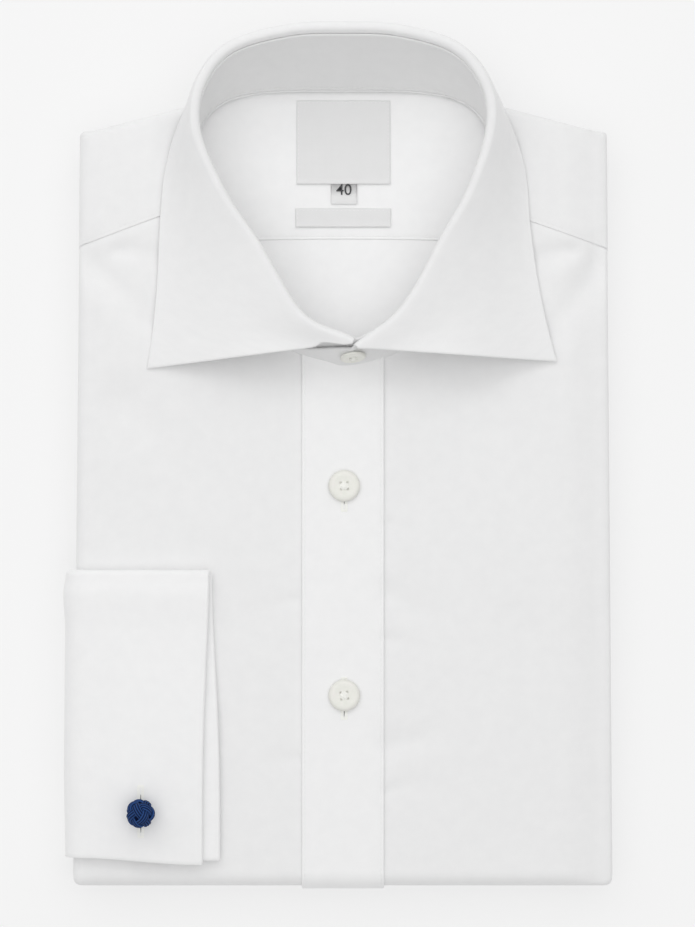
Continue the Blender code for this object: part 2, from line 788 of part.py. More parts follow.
def side_path(distance, y):
    """Skin of the left side: place and outward direction, past the start of the roll."""
    edge = mix(LEFT_BOTTOM, LEFT_TOP, (y - HEM_Y) / (SHOULDER_Y - HEM_Y)) + squeeze(y)
    low = CUFF_CENTRE + CUFF_INNER_LEAF + CUFF_CLOTH / 2 + SIDE_FOOT
    quarter = ROLL * math.pi / 2
    drop = ROLL_Z - low
    turn = SIDE_FOOT * math.pi / 2
    if distance <= quarter:
        angle = distance / ROLL
        spot = Vector((edge + ROLL - ROLL * math.sin(angle), ROLL_Z + ROLL * math.cos(angle)))
        return spot, Vector((-math.sin(angle), math.cos(angle)))
    if distance <= quarter + drop:
        return Vector((edge, ROLL_Z - (distance - quarter))), Vector((-1.0, 0.0))
    distance -= quarter + drop
    if distance <= turn:
        angle = distance / SIDE_FOOT
        centre = Vector((edge + SIDE_FOOT, low))
        out = Vector((-math.cos(angle), -math.sin(angle)))
        return centre + out * SIDE_FOOT, out
    return Vector((edge + SIDE_FOOT + distance - turn, low - SIDE_FOOT)), Vector((0.0, -1.0))


def cuff_lift(x, y):
    """The cuff's open edge stands up over the knot under it."""
    left = (x - KNOT_X) / 21.0 if x < KNOT_X else (x - KNOT_X) / 75.0
    across = 0.5 + 0.5 * math.cos(math.pi * min(1.0, abs(left)))
    up = max(0.0, y - KNOT_Y - 6.0) / 74.0
    return CUFF_LIFT * across * (0.5 + 0.5 * math.cos(math.pi * min(1.0, up)))


def cuff_point(along, y, offset):
    """Point over the body's left side: along is x on top, or (roll start, past distance)."""
    if isinstance(along, tuple):
        spot, out = side_path(along[1], y)
        return Vector((spot.x + out.x * offset, y, spot.y + out.y * offset))
    lift = cuff_lift(along, y)
    return Vector((along, y, SKIN_TOP + crown(along, y) + lift + offset))


def cuff_round():
    """Round the flattened tube: y of the tube's spine, angle of the fold, front or back."""
    turn_y = CUFF_TOP_Y - CUFF_PUFF - CUFF_OUTER_LEAF - CUFF_CLOTH / 2
    ys = (CUFF_BOTTOM_Y, -162.0, KNOT_Y, -140.0, -126.0, -110.0, -93.0, -76.0, -61.0)
    places = [(y, 0.0) for y in ys]
    places += [(turn_y, math.pi * step / 4) for step in range(5)]
    places += [(y, math.pi) for y in reversed(ys)]
    return places


def cuff_edge_x(y, angle):
    share = smooth((y - CUFF_BOTTOM_Y) / (CUFF_TOP_Y - CUFF_BOTTOM_Y)) ** 2
    front = mix(CUFF_EDGE_FRONT[0], CUFF_EDGE_FRONT[1], share)
    back = mix(CUFF_EDGE_BACK[1], CUFF_EDGE_BACK[0], share)
    return mix(front, back, smooth(angle / math.pi))


def cuff_profile(y, angle):
    """Places along the doubled leaf: from its free edge, round the turn-back, to the seam."""
    edge = cuff_edge_x(y, angle)
    middle = (CUFF_INNER_LEAF + CUFF_OUTER_LEAF) / 2
    radius = (CUFF_OUTER_LEAF - CUFF_INNER_LEAF) / 2
    turn_x = edge - radius - CUFF_CLOTH / 2
    path, _ = side_path(0.0, y)
    quarter = ROLL * math.pi / 2
    side = [quarter * step / 3 for step in range(1, 4)] + [CUFF_SIDE_END]
    top_xs = [path.x, -99.0, -92.0, KNOT_X, -76.0, -66.0, turn_x - 1.5]
    outer = [(("side", distance), CUFF_OUTER_LEAF) for distance in reversed(side)]
    outer += [(x, CUFF_OUTER_LEAF) for x in top_xs]
    turn = []
    for degrees in (0, 60, 120, 180):
        turn_angle = math.radians(degrees)
        turn.append((turn_x + radius * math.sin(turn_angle),
                     middle + radius * math.cos(turn_angle)))
    inner = [(x, CUFF_INNER_LEAF) for x in reversed(top_xs)]
    inner += [(("side", distance), CUFF_INNER_LEAF) for distance in side]
    return outer + turn + inner


def cuff_middle():
    turn_y = CUFF_TOP_Y - CUFF_PUFF - CUFF_OUTER_LEAF - CUFF_CLOTH / 2
    grid = []
    for y, angle in cuff_round():
        puff = CUFF_PUFF * smooth((y - turn_y + CUFF_PUFF_LENGTH) / CUFF_PUFF_LENGTH)
        line = []
        for along, leaf in cuff_profile(y, angle):
            reach = leaf + puff
            spot_y = y + reach * math.sin(angle)
            offset = CUFF_CENTRE + puff + reach * math.cos(angle)
            line.append(cuff_point(along, spot_y, offset))
        grid.append(line)
    return grid


def slit_cutter():
    """Lens-shaped prism through the cuff, where the link passes the buttonholes."""
    half, width = SLIT_LENGTH / 2, SLIT_WIDTH / 2
    base = SKIN_TOP + crown(KNOT_X, KNOT_Y) + CUFF_LIFT - 1.5
    outline_points = []
    for side in (1, -1):
        for step in range(8):
            y = side * half * (1 - step / 4)
            outline_points.append((side * width * (1 - (y / half) ** 2) + side * 0.05, y))
    mesh = bmesh.new()
    rings = []
    for z in (base, base + 10.0):
        ring = [Vector((KNOT_X + x, KNOT_Y + y, z)) for x, y in outline_points]
        rings.append(add_grid(mesh, [ring])[0])
    sew(mesh, rings[0], rings[1], closed=True)
    mesh.faces.new(rings[0])
    mesh.faces.new(rings[1])
    cutter = finish("slit_cutter", mesh, material("cutter", WHITE, 0.9))
    cutter.hide_render = True
    cutter.display_type = "WIRE"
    return cutter


def cut(target, cutter):
    modifier = target.modifiers.new("slit", "BOOLEAN")
    modifier.operation = "DIFFERENCE"
    modifier.solver = "EXACT"
    modifier.object = cutter


def cuff(cloth):
    made = thick_wall("cuff", cuff_middle(), CUFF_CLOTH, cloth)
    cut(made, slit_cutter())
    return made


# Rows along the sleeve's end: y, and how full its two plies are there
SLEEVE_ROWS = ((-171.2, 0.12), (-170.0, 0.8), (-167.5, 1.0), (-145.0, 1.0), (-125.0, 1.0),
               (-105.0, 1.0), (-85.0, 1.0), (-65.0, 1.0), (-51.5, 1.0), (-49.5, 0.8),
               (-48.3, 0.12))


def sleeve(cloth):
    """End of the sleeve: two plies in one strip, round the side and under the body."""
    start = CUFF_SIDE_END + SEAM_GAP + CUFF_CLOTH / 4
    probe, _ = side_path(60.0, -110.0)
    length = 60.0 + (SLEEVE_END_X - probe.x)
    quarter = ROLL * math.pi / 2
    foot = quarter + ROLL_Z - (CUFF_CENTRE + CUFF_INNER_LEAF + CUFF_CLOTH / 2 + SIDE_FOOT)
    distances = [start, foot]
    distances += [foot + SIDE_FOOT * math.pi / 2 * step / 4 for step in range(1, 5)]
    distances += [mix(distances[-1], length, 0.5), length]
    middle = (SLEEVE_INNER + SLEEVE_OUTER) / 2
    half = (SLEEVE_OUTER - SLEEVE_INNER) / 2
    outer, inner = [], []
    for distance in distances:
        sides = ([], [])
        for y, fullness in SLEEVE_ROWS:
            spot, out = side_path(distance, y)
            for side, offset in zip(sides, (middle + half * fullness, middle - half * fullness)):
                side.append(Vector((spot.x + out.x * offset, y, spot.y + out.y * offset)))
        outer.append(sides[0])
        inner.append(sides[1])
    return wall("sleeve", outer, inner, cloth)


# ---------------------------------------------------------------- buttons and link

def lathe(name, profile, count, colour):
    """Turned solid from (radius, height) pairs whose first and last lie on the axis."""
    mesh = bmesh.new()
    first = mesh.verts.new((0.0, 0.0, profile[0][1] * MM))
    last = mesh.verts.new((0.0, 0.0, profile[-1][1] * MM))
    rings = []
    for radius, height in profile[1:-1]:
        ring = []
        for step in range(count):
            angle = 2 * math.pi * step / count
            ring.append(Vector((radius * math.cos(angle), radius * math.sin(angle), height)))
        rings.append(add_grid(mesh, [ring])[0])
    for before, after in zip(rings, rings[1:]):
        sew(mesh, before, after, closed=True)
    for tip, ring in ((first, rings[0]), (last, rings[-1])):
        for index in range(count):
            mesh.faces.new((tip, ring[index], ring[(index + 1) % count]))
    return finish(name, mesh, colour)


def button_profile(radius, height):
    rim = radius * 0.24
    return ((0.0, 0.0), (radius * 0.82, 0.0), (radius, height * 0.4), (radius - 0.2, height * 0.85),
            (radius - rim * 0.45, height), (radius - rim, height * 0.72), (0.0, height * 0.68))


def hole_cutter(name, spread):
    """Four round pins in a square, joined below the button into one closed body."""
    mesh = bmesh.new()
    count = 6
    for corner in range(4):
        centre_angle = math.pi / 4 + corner * math.pi / 2
        centre = Vector((math.cos(centre_angle), math.sin(centre_angle), 0)) * spread * math.sqrt(2)
        rings = []
        for z in (-1.0, BUTTON_HEIGHT + 1.0):
            ring = []
            for step in range(count):
                angle = 2 * math.pi * step / count
                ring.append(centre + Vector((BUTTON_HOLE_RADIUS * math.cos(angle),
                                             BUTTON_HOLE_RADIUS * math.sin(angle), z)))
            rings.append(add_grid(mesh, [ring])[0])
        sew(mesh, rings[0], rings[1], closed=True)
        mesh.faces.new(rings[0])
        mesh.faces.new(rings[1])
    cutter = finish(name, mesh, material(name, WHITE, 0.9))
    cutter.hide_render = True
    cutter.display_type = "WIRE"
    return cutter


def button(name, diameter, place, turn, colour):
    made = lathe(name, button_profile(diameter / 2, BUTTON_HEIGHT), 18, colour)
    cutter = hole_cutter(name + "_holes", BUTTON_HOLE_SPREAD * diameter / BUTTON_DIAMETER)
    cutter.parent = made
    cut(made, cutter)
    made.location = place * MM
    made.rotation_euler = turn
    return made


def front_buttons(colour):
    for number, y in enumerate(BUTTON_YS, start=1):
        z = SKIN_TOP + crown(BUTTON_X, y) + 2 * SEAM_GAP + PLACKET_CLOTH
        button(f"front_button_{number}", BUTTON_DIAMETER, Vector((BUTTON_X, y, z)), (0, 0, 0), colour)


def collar_button(colour):
    """Button of the band, on the slope of its lapped end."""
    first, second = stations()[:2]
    base, top, rise, _ = standing_line(first)
    along = second["base"] - base
    normal = rise.cross(along).normalized()
    if normal.y > 0.0:
        normal.negate()
    middle = base + along * 0.5 + rise * (top - base).length * 0.40
    place = middle + normal * (BAND_CLOTH / 2 + 2 * SEAM_GAP)
    turn = normal.to_track_quat("Z", "Y").to_euler()
    button("collar_button", COLLAR_BUTTON_DIAMETER, place, turn, colour)


def knot(name, height, colour):
    profile = [(0.0, -KNOT_RADIUS)]
    for step in range(1, 10):
        angle = math.pi * step / 10
        profile.append((KNOT_RADIUS * math.sin(angle), -KNOT_RADIUS * math.cos(angle)))
    profile.append((0.0, KNOT_RADIUS))
    made = lathe(name, profile, 16, colour)
    made.location = Vector((KNOT_X, KNOT_Y, height)) * MM


def cufflink(silk):
    """Two silk knots, under and over the cuff, and the elastic between them."""
    skin_z = SKIN_TOP + crown(KNOT_X, KNOT_Y)
    under = skin_z - KNOT_DENT + 2 * SEAM_GAP + KNOT_RADIUS
    cuff_top = skin_z + CUFF_LIFT + CUFF_CENTRE + CUFF_OUTER_LEAF + CUFF_CLOTH / 2
    over = cuff_top + SEAM_GAP + KNOT_RADIUS
    knot("silk_knot_under", under, silk)
    knot("silk_knot_over", over, silk)
    low, high = under + KNOT_RADIUS + 0.1, over - KNOT_RADIUS - 0.1
    profile = ((0.0, low), (LINK_RADIUS, low), (LINK_RADIUS, high), (0.0, high))
    made = lathe("link_elastic", profile, 10, silk)
    made.location = Vector((KNOT_X, KNOT_Y, 0.0)) * MM


# ---------------------------------------------------------------- the shirt

def clear():
    for old in list(bpy.data.objects):
        bpy.data.objects.remove(old, do_unlink=True)


def build():
    clear()
    poplin = material("white_poplin", WHITE, 0.85)
    shell = material("ivory_button", IVORY, 0.35)
    silk = material("navy_silk", NAVY, 0.6)
    tape = material("label_tape", LABEL_GREY, 0.8)
    folded_layers(poplin)
    right_front(poplin)
    left_front(poplin)
    placket(poplin)
    yoke(poplin)
    inner_yoke(poplin)
    inner_back(poplin)
    for name, box in LABELS.items():
        label(name, box, tape)
    collar_band(poplin)
    collar_leaf(poplin)
    cuff(poplin)
    sleeve(poplin)
    front_buttons(shell)
    collar_button(shell)
    cufflink(silk)


build()
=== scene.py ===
"""Looks of a long sleeve dress shirt that lies folded on its back, collar standing.

The shirt is put together here as it is sewn and folded: fronts, placket, yoke, inner
neck, labels, hidden layers, collar, cuff, buttons and link. Lengths are millimetres until
a mesh is made. +X is the viewer's right, +Y runs to the collar and +Z comes up.
"""
import math

import bpy
import numpy as np
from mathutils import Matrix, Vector


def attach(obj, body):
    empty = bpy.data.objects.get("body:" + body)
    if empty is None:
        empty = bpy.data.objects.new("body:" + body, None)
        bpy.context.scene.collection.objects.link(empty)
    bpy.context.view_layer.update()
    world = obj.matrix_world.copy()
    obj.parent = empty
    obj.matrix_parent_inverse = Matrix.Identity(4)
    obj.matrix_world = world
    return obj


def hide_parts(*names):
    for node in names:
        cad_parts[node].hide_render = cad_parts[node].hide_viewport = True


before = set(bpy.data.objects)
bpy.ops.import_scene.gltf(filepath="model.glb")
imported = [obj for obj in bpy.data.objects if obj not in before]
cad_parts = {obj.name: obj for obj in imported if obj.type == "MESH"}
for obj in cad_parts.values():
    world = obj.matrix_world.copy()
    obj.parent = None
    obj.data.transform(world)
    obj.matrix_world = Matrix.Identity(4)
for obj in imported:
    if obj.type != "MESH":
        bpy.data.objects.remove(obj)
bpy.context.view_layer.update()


# ---------------------------------------------------------------- the two fronts
# Each front is one panel of white cotton poplin, pressed and folded round the body's
# rolled edge. It is cut on the straight grain and runs from the hem fold to the yoke seam
# and the neck; the cuff and the folding board have left a few soft creases in it.

MM = 0.001
UP = np.array((0.0, 0.0, 1.0))
POPLIN = 0.6
HEM_Y, SHOULDER_Y = -183.3, 140.2
LEFT_BOTTOM, LEFT_TOP = -114.3, -111.2
RIGHT_BOTTOM, RIGHT_TOP = 118.3, 115.7
SHOULDER_LINE = [(68.0, 152.7), (49.0, 158.3), (30.0, 161.0), (2.4, 161.8),
                 (-25.0, 161.0), (-44.0, 158.3), (-62.5, 152.7)]
BODY_TOP = 19.0
ROLL, SHOULDER_ROLL = 6.0, 2.2
ROLL_Z = BODY_TOP - ROLL
TUCK_LIMIT, TUCK_LENGTH = math.radians(157), 12.6
WRAP = 16.0
NECK_X, NECK_Y = 2.4, 110.0
NECK_HALF_WIDTH, NECK_FRONT, NECK_BACK = 64.6, 68.0, 49.3
NECK_FRONT_POWER, NECK_BACK_POWER = 1.8, 4.4
NECK_RISE = 1.9
KNOT_X, KNOT_Y = -84.6, -151.0
KNOT_DENT, KNOT_DENT_WIDTH = 10.4, 10.5
CUFF_TOP_Y, CUFF_BOTTOM_Y, CUFF_SQUEEZE = -47.0, -172.0, 1.0
RIGHT_DROOP, LEFT_DROOP = 3.4, 0.8
FRONT_STEP = 1.6
CREASE_DEPTH = 2.4

# Creases: from, to, share of the depth (minus for a ridge), width at the start and the end
CREASES = [
    (-112, 90, -84, 62, 1.3, 7, 7), (115, 88, 94, 58, 1.2, 7, 7),
    (-92, 24, -62, -16, 0.8, 10, 10), (60, 34, 88, -30, 0.7, 13, 13),
    (22, -58, 38, -66, 0.6, 6, 6), (22, -123, 40, -119, 0.6, 6, 6),
    (-94, 90, -78, 89, 0.8, 4, 5), (100, 90, 86, 88, 0.9, 4, 5),
    (-100, 70, -70, 30, -0.45, 9, 14), (-80, 2, -48, -34, -0.4, 8, 12),
    (-60, -40, -34, -72, 0.35, 7, 9), (24, 20, 62, 58, -0.35, 8, 12),
    (30, -16, 70, 16, 0.3, 9, 14), (78, -70, 104, -110, 0.35, 12, 16),
    (21, -27, 33, -30, 0.3, 3, 4), (21, -77, 34, -80, 0.35, 3, 5), (21, -142, 36, -139, 0.3, 3, 5),
    (-18, -60, -34, -64, 0.25, 3, 5), (-18, -128, -30, -131, 0.25, 3, 4),
]


def smooth(value):
    """0 below 0, 1 above 1, with a soft step between."""
    value = np.clip(value, 0.0, 1.0)
    return value * value * (3.0 - 2.0 * value)


def mix(first, second, part):
    return first + (second - first) * part


def bell(away, width):
    """1 at no distance, falling off softly past the width."""
    return np.exp(-(away / width) ** 2)


def unit(vectors):
    return vectors / np.maximum(np.linalg.norm(vectors, axis=-1, keepdims=True), 1e-9)


def together(*parts):
    """One grid of points from its coordinates, each given as a row, a column or a grid."""
    return np.stack(np.broadcast_arrays(*parts), axis=-1)


def running(line, axis=0):
    """Length run along lines of points, from 0 at their start."""
    steps = np.linalg.norm(np.diff(line, axis=axis), axis=-1)
    return np.insert(np.cumsum(steps, axis=axis), 0, 0.0, axis=axis)


def inset(corners, distances):
    """The convex outline with each side, from its corner on, moved inward by its distance."""
    corners = np.asarray(corners, float)
    distances = np.broadcast_to(distances, len(corners))
    after = unit(np.roll(corners, -1, axis=0) - corners)
    before = np.roll(after, 1, axis=0)
    crossing = before[:, 0] * after[:, 1] - before[:, 1] * after[:, 0]
    along_before, along_after = distances / crossing, np.roll(distances, 1) / crossing
    return corners - before * along_before[:, None] + after * along_after[:, None]


BODY_OUTLINE = [(LEFT_BOTTOM, HEM_Y), (RIGHT_BOTTOM, HEM_Y), (RIGHT_TOP, SHOULDER_Y),
                *SHOULDER_LINE, (LEFT_TOP, SHOULDER_Y)]
SIDE_ROLLS = [ROLL, ROLL] + [SHOULDER_ROLL] * (len(BODY_OUTLINE) - 3) + [ROLL]
ROLL_START = inset(BODY_OUTLINE, SIDE_ROLLS)
PANEL_BOTTOM = ROLL_START[0][1] - WRAP
PANEL_LEFT = mix(ROLL_START[0][0], ROLL_START[-1][0], 0.5) - WRAP
PANEL_RIGHT = mix(ROLL_START[1][0], ROLL_START[2][0], 0.5) + WRAP


def on_segment(x, y, x0, y0, x1, y1):
    """For each place, how far along a segment its nearest place is, and that place."""
    dx, dy = x1 - x0, y1 - y0
    part = np.clip(((x - x0) * dx + (y - y0) * dy) / (dx * dx + dy * dy), 0.0, 1.0)
    return part, x0 + dx * part, y0 + dy * part


def nearest_edge(x, y):
    """For each place: the nearest point where the roll starts, how far, and whether inside."""
    best = np.full(x.shape, np.inf)
    foot_x, foot_y = np.zeros(x.shape), np.zeros(x.shape)
    inside = np.ones(x.shape, bool)
    for (ax, ay), (bx, by) in zip(ROLL_START, np.roll(ROLL_START, -1, axis=0)):
        inside &= (bx - ax) * (y - ay) - (by - ay) * (x - ax) >= 0.0
        _, near_x, near_y = on_segment(x, y, ax, ay, bx, by)
        far = np.hypot(x - near_x, y - near_y)
        closer = far < best
        best = np.where(closer, far, best)
        foot_x, foot_y = np.where(closer, near_x, foot_x), np.where(closer, near_y, foot_y)
    return foot_x, foot_y, best, inside


def neck_reach(x, y):
    """0 at the neck's centre, 1 on its seam."""
    front = y < NECK_Y
    power = np.where(front, NECK_FRONT_POWER, NECK_BACK_POWER)
    deep = np.where(front, NECK_FRONT, NECK_BACK)
    total = np.abs((x - NECK_X) / NECK_HALF_WIDTH) ** power + np.abs((y - NECK_Y) / deep) ** power
    return total ** (1.0 / power)


def plain_crown(x, y):
    """The plain swelling of the folded layers."""
    across = np.maximum(0.0, 1.0 - ((x - 1.6) / 114.0) ** 2)
    return across * smooth((30.0 - y) / 90.0) * smooth((y - HEM_Y) / 60.0)


def relief(x, y):
    """Height of the folded body over its plain top: swelling, creases and the knot's dent."""
    height = plain_crown(x, y)
    for *ends, depth, width0, width1 in CREASES:
        part, near_x, near_y = on_segment(x, y, *ends)
        trough = bell(np.hypot(x - near_x, y - near_y), mix(width0, width1, part))
        height = height - CREASE_DEPTH * depth * trough * (1 - 0.6 * part)
    height = height - KNOT_DENT * bell(np.hypot(x - KNOT_X, y - KNOT_Y), KNOT_DENT_WIDTH)
    waves = np.sin(x / 17.0 + y / 31.0 + 0.7) * np.sin(y / 23.0 - x / 41.0 + 2.1)
    waves = waves + 0.6 * np.sin(x / 9.0 - y / 13.0 + 1.3) * np.sin(y / 11.0 + x / 29.0)
    droop = RIGHT_DROOP * smooth((x - 97.0) / 20.0) + LEFT_DROOP * smooth((-101.0 - x) / 10.0)
    from_neck = np.abs(neck_reach(x, y) - 1.0) * NECK_FRONT
    height = height + NECK_RISE * np.exp(-(from_neck / 5.0) ** 1.3) * smooth((74.0 - y) / 20.0)
    return height + 0.12 * waves - droop


def press(x, y):
    """How far the cuff presses the left side in."""
    below = smooth((y - CUFF_BOTTOM_Y - 1.0) / 5.0)
    above = smooth((CUFF_TOP_Y + 1.0 - y) / 4.0)
    return CUFF_SQUEEZE * below * above * smooth((-80.0 - x) / 20.0)


def skin(x, y, lift):
    """Points on the body's rounded skin for places on the flat cloth, raised by lift."""
    x, y = np.broadcast_arrays(np.asarray(x, float), np.asarray(y, float))
    foot_x, foot_y, far, inside = nearest_edge(x, y)
    upward = (y - foot_y) / np.maximum(far, 1e-9)
    radius = mix(ROLL, SHOULDER_ROLL, smooth((upward - 0.1) / 0.8))
    angle = TUCK_LIMIT * np.tanh(far * ROLL / radius / TUCK_LENGTH)
    far = np.maximum(far, 1e-9)
    share = (radius + lift) * np.sin(angle) / far
    corner = ((x - foot_x) ** 4 + (y - foot_y) ** 4) ** -0.25 * far
    share = share * np.where(foot_y < HEM_Y + ROLL + 0.5, corner, 1.0)
    settle = relief(foot_x, foot_y) * smooth(np.cos(angle))
    rolled_z = BODY_TOP - radius + (radius + lift + settle) * np.cos(angle)
    point_x = np.where(inside, x, foot_x + (x - foot_x) * share)
    point_y = np.where(inside, y, foot_y + (y - foot_y) * share)
    point_z = np.where(inside, BODY_TOP + relief(x, y) + lift, rolled_z)
    return together(point_x + press(point_x, point_y), point_y, point_z)


def neck_y(x, front, inward=0.9):
    """y of the cloth's edge under the band, a little inside the neck seam."""
    power = NECK_FRONT_POWER if front else NECK_BACK_POWER
    share = np.minimum(1.0, np.abs(np.asarray(x, float) - NECK_X) / (NECK_HALF_WIDTH - inward))
    rise = (1.0 - share ** power) ** (1.0 / power)
    return NECK_Y - (NECK_FRONT - inward) * rise if front else NECK_Y + (NECK_BACK - inward) * rise


def yoke_seam_y(x):
    """Front yoke seam, bowed a little down at its outer ends."""
    x = np.asarray(x, float)
    left = 93.4 + 0.349 * (x + 111.0) - 1.5 * np.exp(-np.maximum(0.0, x + 111.0) / 9.0)
    right = 92.5 - 0.326 * (x - 115.6) - 1.5 * np.exp(-np.maximum(0.0, 115.6 - x) / 9.0)
    return np.where(x < NECK_X, left, right)


def wall_normals(middle):
    """Unit normals of a grid of points."""
    return unit(np.cross(np.gradient(middle, axis=0), np.gradient(middle, axis=1)))


def quads(number, closed=False):
    """Faces between neighbours in a grid of point numbers, whose last axis may close."""
    if closed:
        number = np.concatenate([number, number[..., :1]], axis=-1)
    near, far = number[..., :-1, :], number[..., 1:, :]
    return np.stack([near[..., :-1], far[..., :-1], far[..., 1:], near[..., 1:]], axis=-1).reshape(-1, 4)


def numbered(*shape, start=0):
    return start + np.arange(math.prod(shape)).reshape(shape)


def placed(name, data):
    """A new object in the scene."""
    made = bpy.data.objects.new(name, data)
    bpy.context.scene.collection.objects.link(made)
    return made


def shape(name, points, faces, finish, cut=None):
    """A smooth piece from points and faces; its UV map is its flat cut, in metres."""
    points = np.reshape(points, (-1, 3))
    mesh = bpy.data.meshes.new(name)
    mesh.from_pydata((points * MM).tolist(), [], faces if isinstance(faces, list) else faces.tolist())
    if cut is not None:
        corners = np.zeros(len(mesh.loops), np.int32)
        mesh.loops.foreach_get("vertex_index", corners)
        mesh.uv_layers.new(name="cut").data.foreach_set("uv", (cut[corners] * MM).ravel())
    mesh.materials.append(finish)
    mesh.shade_smooth()
    return placed(name, mesh)


def fasten(piece, solid=None):
    """Fix a piece to the shirt, in place of its solid if it has one."""
    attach(piece, "root")
    if solid:
        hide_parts(solid)
    return piece


def cloth_piece(name, solid, middle, flat, finish, thickness=POPLIN):
    """A sheet of cloth with softly rounded rims, in place of its solid."""
    half = thickness / 2.0
    runs = [running(middle, axis) for axis in (0, 1)]
    rims = np.minimum.reduce([*runs, runs[0][-1:] - runs[0], runs[1][:, -1:] - runs[1]])
    near = np.clip(rims / half, 0.0, 1.0)
    offset = wall_normals(middle) * (half * np.sqrt(1.0 - (1.0 - near) ** 2))[..., None]
    upper = numbered(*middle.shape[:2])
    under = upper.copy()
    under[1:-1, 1:-1] += upper.size
    faces = np.vstack([quads(upper), quads(under)[:, ::-1]])
    used, faces = np.unique(faces, return_inverse=True)
    points = np.concatenate([(middle + offset).reshape(-1, 3), (middle - offset).reshape(-1, 3)])
    places = np.concatenate([flat.reshape(-1, 2)] * 2)
    return fasten(shape(name, points[used], faces.reshape(-1, 4), finish, places[used]), solid)


def give(tree, made, inputs):
    """Set a node's inputs, or link them where a socket is given."""
    for key, value in inputs.items():
        if isinstance(value, bpy.types.NodeSocket):
            tree.links.new(value, made.inputs[key])
        else:
            made.inputs[key].default_value = value


def node(tree, kind, inputs, **values):
    """A shader node with its properties and inputs set; gives its first output in use."""
    made = tree.nodes.new("ShaderNode" + kind)
    for key, value in values.items():
        setattr(made, key, value)
    give(tree, made, inputs)
    return next(socket for socket in made.outputs if socket.enabled)


def material(name, **inputs):
    """A new material with its shader's plain inputs set."""
    made = bpy.data.materials.new(name)
    made.use_nodes = True
    shader = made.node_tree.nodes["Principled BSDF"]
    give(made.node_tree, shader, {key.replace("_", " "): value for key, value in inputs.items()})
    return made, made.node_tree, shader


def poplin(name, colour, deep, weave=0.05, threads=760.0, roughness=0.82, shine=0.22):
    """Pressed cotton poplin: fine plain weave, faint slubs and a breath of tone."""
    made, tree, shader = material(name, Roughness=roughness, Specular_IOR_Level=shine,
                                  Sheen_Weight=0.12, Sheen_Roughness=0.5)
    cut = node(tree, "UVMap", {}, uv_map="cut")
    tone = node(tree, "TexNoise", {"Vector": cut, "Scale": 150.0, "Detail": 7.0, "Roughness": 0.62})
    blend = node(tree, "Mix", {"Factor": tone, "A": (*deep, 1.0), "B": (*colour, 1.0)},
                 data_type="RGBA")
    wave = {"Vector": cut, "Scale": threads, "Distortion": 0.8, "Detail Scale": 60.0}
    warp, weft = (node(tree, "TexWave", wave, bands_direction=axis).node.outputs["Fac"]
                  for axis in "XY")
    both = node(tree, "Math", {0: warp, 1: weft}, operation="ADD")
    stretch = node(tree, "Mapping", {"Vector": cut, "Scale": (1100.0, 160.0, 1.0)})
    slub = node(tree, "TexNoise", {"Vector": stretch, "Scale": 1.0, "Detail": 2.0})
    surface = node(tree, "Math", {0: both, 1: slub}, operation="ADD")
    bump = node(tree, "Bump", {"Strength": weave, "Distance": 0.0003, "Height": surface})
    give(tree, shader, {"Base Color": blend, "Normal": bump})
    return made


WHITE_POPLIN = poplin("white_poplin", (0.905, 0.905, 0.904), (0.845, 0.845, 0.848))
# A darker copy of the white poplin for the collar band: painted shade for the band's inside and its front
# under the leaf.
PAINTED_SHADE_POPLIN = poplin("painted_shade_poplin", (0.865, 0.865, 0.863), (0.805, 0.805, 0.806))
# A lighter copy of the white poplin for the placket, the inner neck panels and the cuff: painted light,
# brightening these pieces beyond the plain cloth.
PAINTED_LIGHT_POPLIN = poplin("painted_light_poplin", (0.945, 0.945, 0.944), (0.885, 0.885, 0.888))


def steps_between(first, last, step):
    """Evenly spaced values from first to last, close to a given step apart."""
    return np.linspace(first, last, max(2, int(round(abs(last - first) / step)) + 1))


def with_rims(values, rim=(0.06, 0.25)):
    """The values with extra ones just inside both ends, for a rounded rim."""
    values = np.asarray(values, float)
    rim = np.array(rim) * (1.0 if values[-1] > values[0] else -1.0)
    ends = values[0] + rim, values[-1] - rim[::-1]
    return np.concatenate([values[:1], ends[0], values[1:-1], ends[1], values[-1:]])


for solid, ends in (("right_front", (PANEL_LEFT, 0.8)), ("left_front", (1.6, PANEL_RIGHT))):
    xs = with_rims(steps_between(*ends, FRONT_STEP))
    top = yoke_seam_y(xs) + 0.6
    in_neck = np.abs(xs - NECK_X) < NECK_HALF_WIDTH - 2.0
    top = np.where(in_neck, np.minimum(neck_y(xs, True), top), top)[:, None]
    shares = with_rims(steps_between(0.0, 1.0, FRONT_STEP / 300.0), (0.0003, 0.001))
    flat = together(xs[:, None], mix(PANEL_BOTTOM, top, shares))
    middle = skin(flat[..., 0], flat[..., 1], -POPLIN / 2)
    middle[..., 2] -= 0.55 * smooth((flat[..., 1] - top + 2.4) / 1.6) * ~in_neck[:, None]
    cloth = cloth_piece(solid + "_cloth", solid, middle, flat, WHITE_POPLIN)


# ---------------------------------------------------------------- the placket
# The button stand is a separate strip of poplin, interlined, folded in at both long edges
# and stitched down to the left front close to each edge. Its buttonholes run lengthwise
# and are worked in close zigzag, with a bar at each end.

PLACKET_LEFT, PLACKET_RIGHT = -15.6, 19.7
PLACKET_THICK = 1.0
PLACKET_LIFT = 0.3 + PLACKET_THICK / 2
EDGE_STITCH = 1.3
BUTTON_X = 2.6
BUTTON_YS = (-11.0, -101.0)
# For each button: how far its hole is shifted, half its length, and where it stands open
BUTTONHOLES = [(-2.5, 7.9, -5.4, 6.0), (-1.4, 8.4, -8.0, 8.0)]
ZIGZAG_STEP, ZIGZAG_RADIUS = 0.42, 0.15
GAP_HALF_WIDTH = 0.26


def placket_face(x, y, lift=PLACKET_THICK / 2):
    """The strip's face, or its middle, drawn down a little along its two stitched lines."""
    points = skin(x, y, PLACKET_LIFT + lift)
    for line in (PLACKET_LEFT + EDGE_STITCH, PLACKET_RIGHT - EDGE_STITCH):
        points[..., 2] -= 0.10 * bell(x - line, 0.55)
    return points


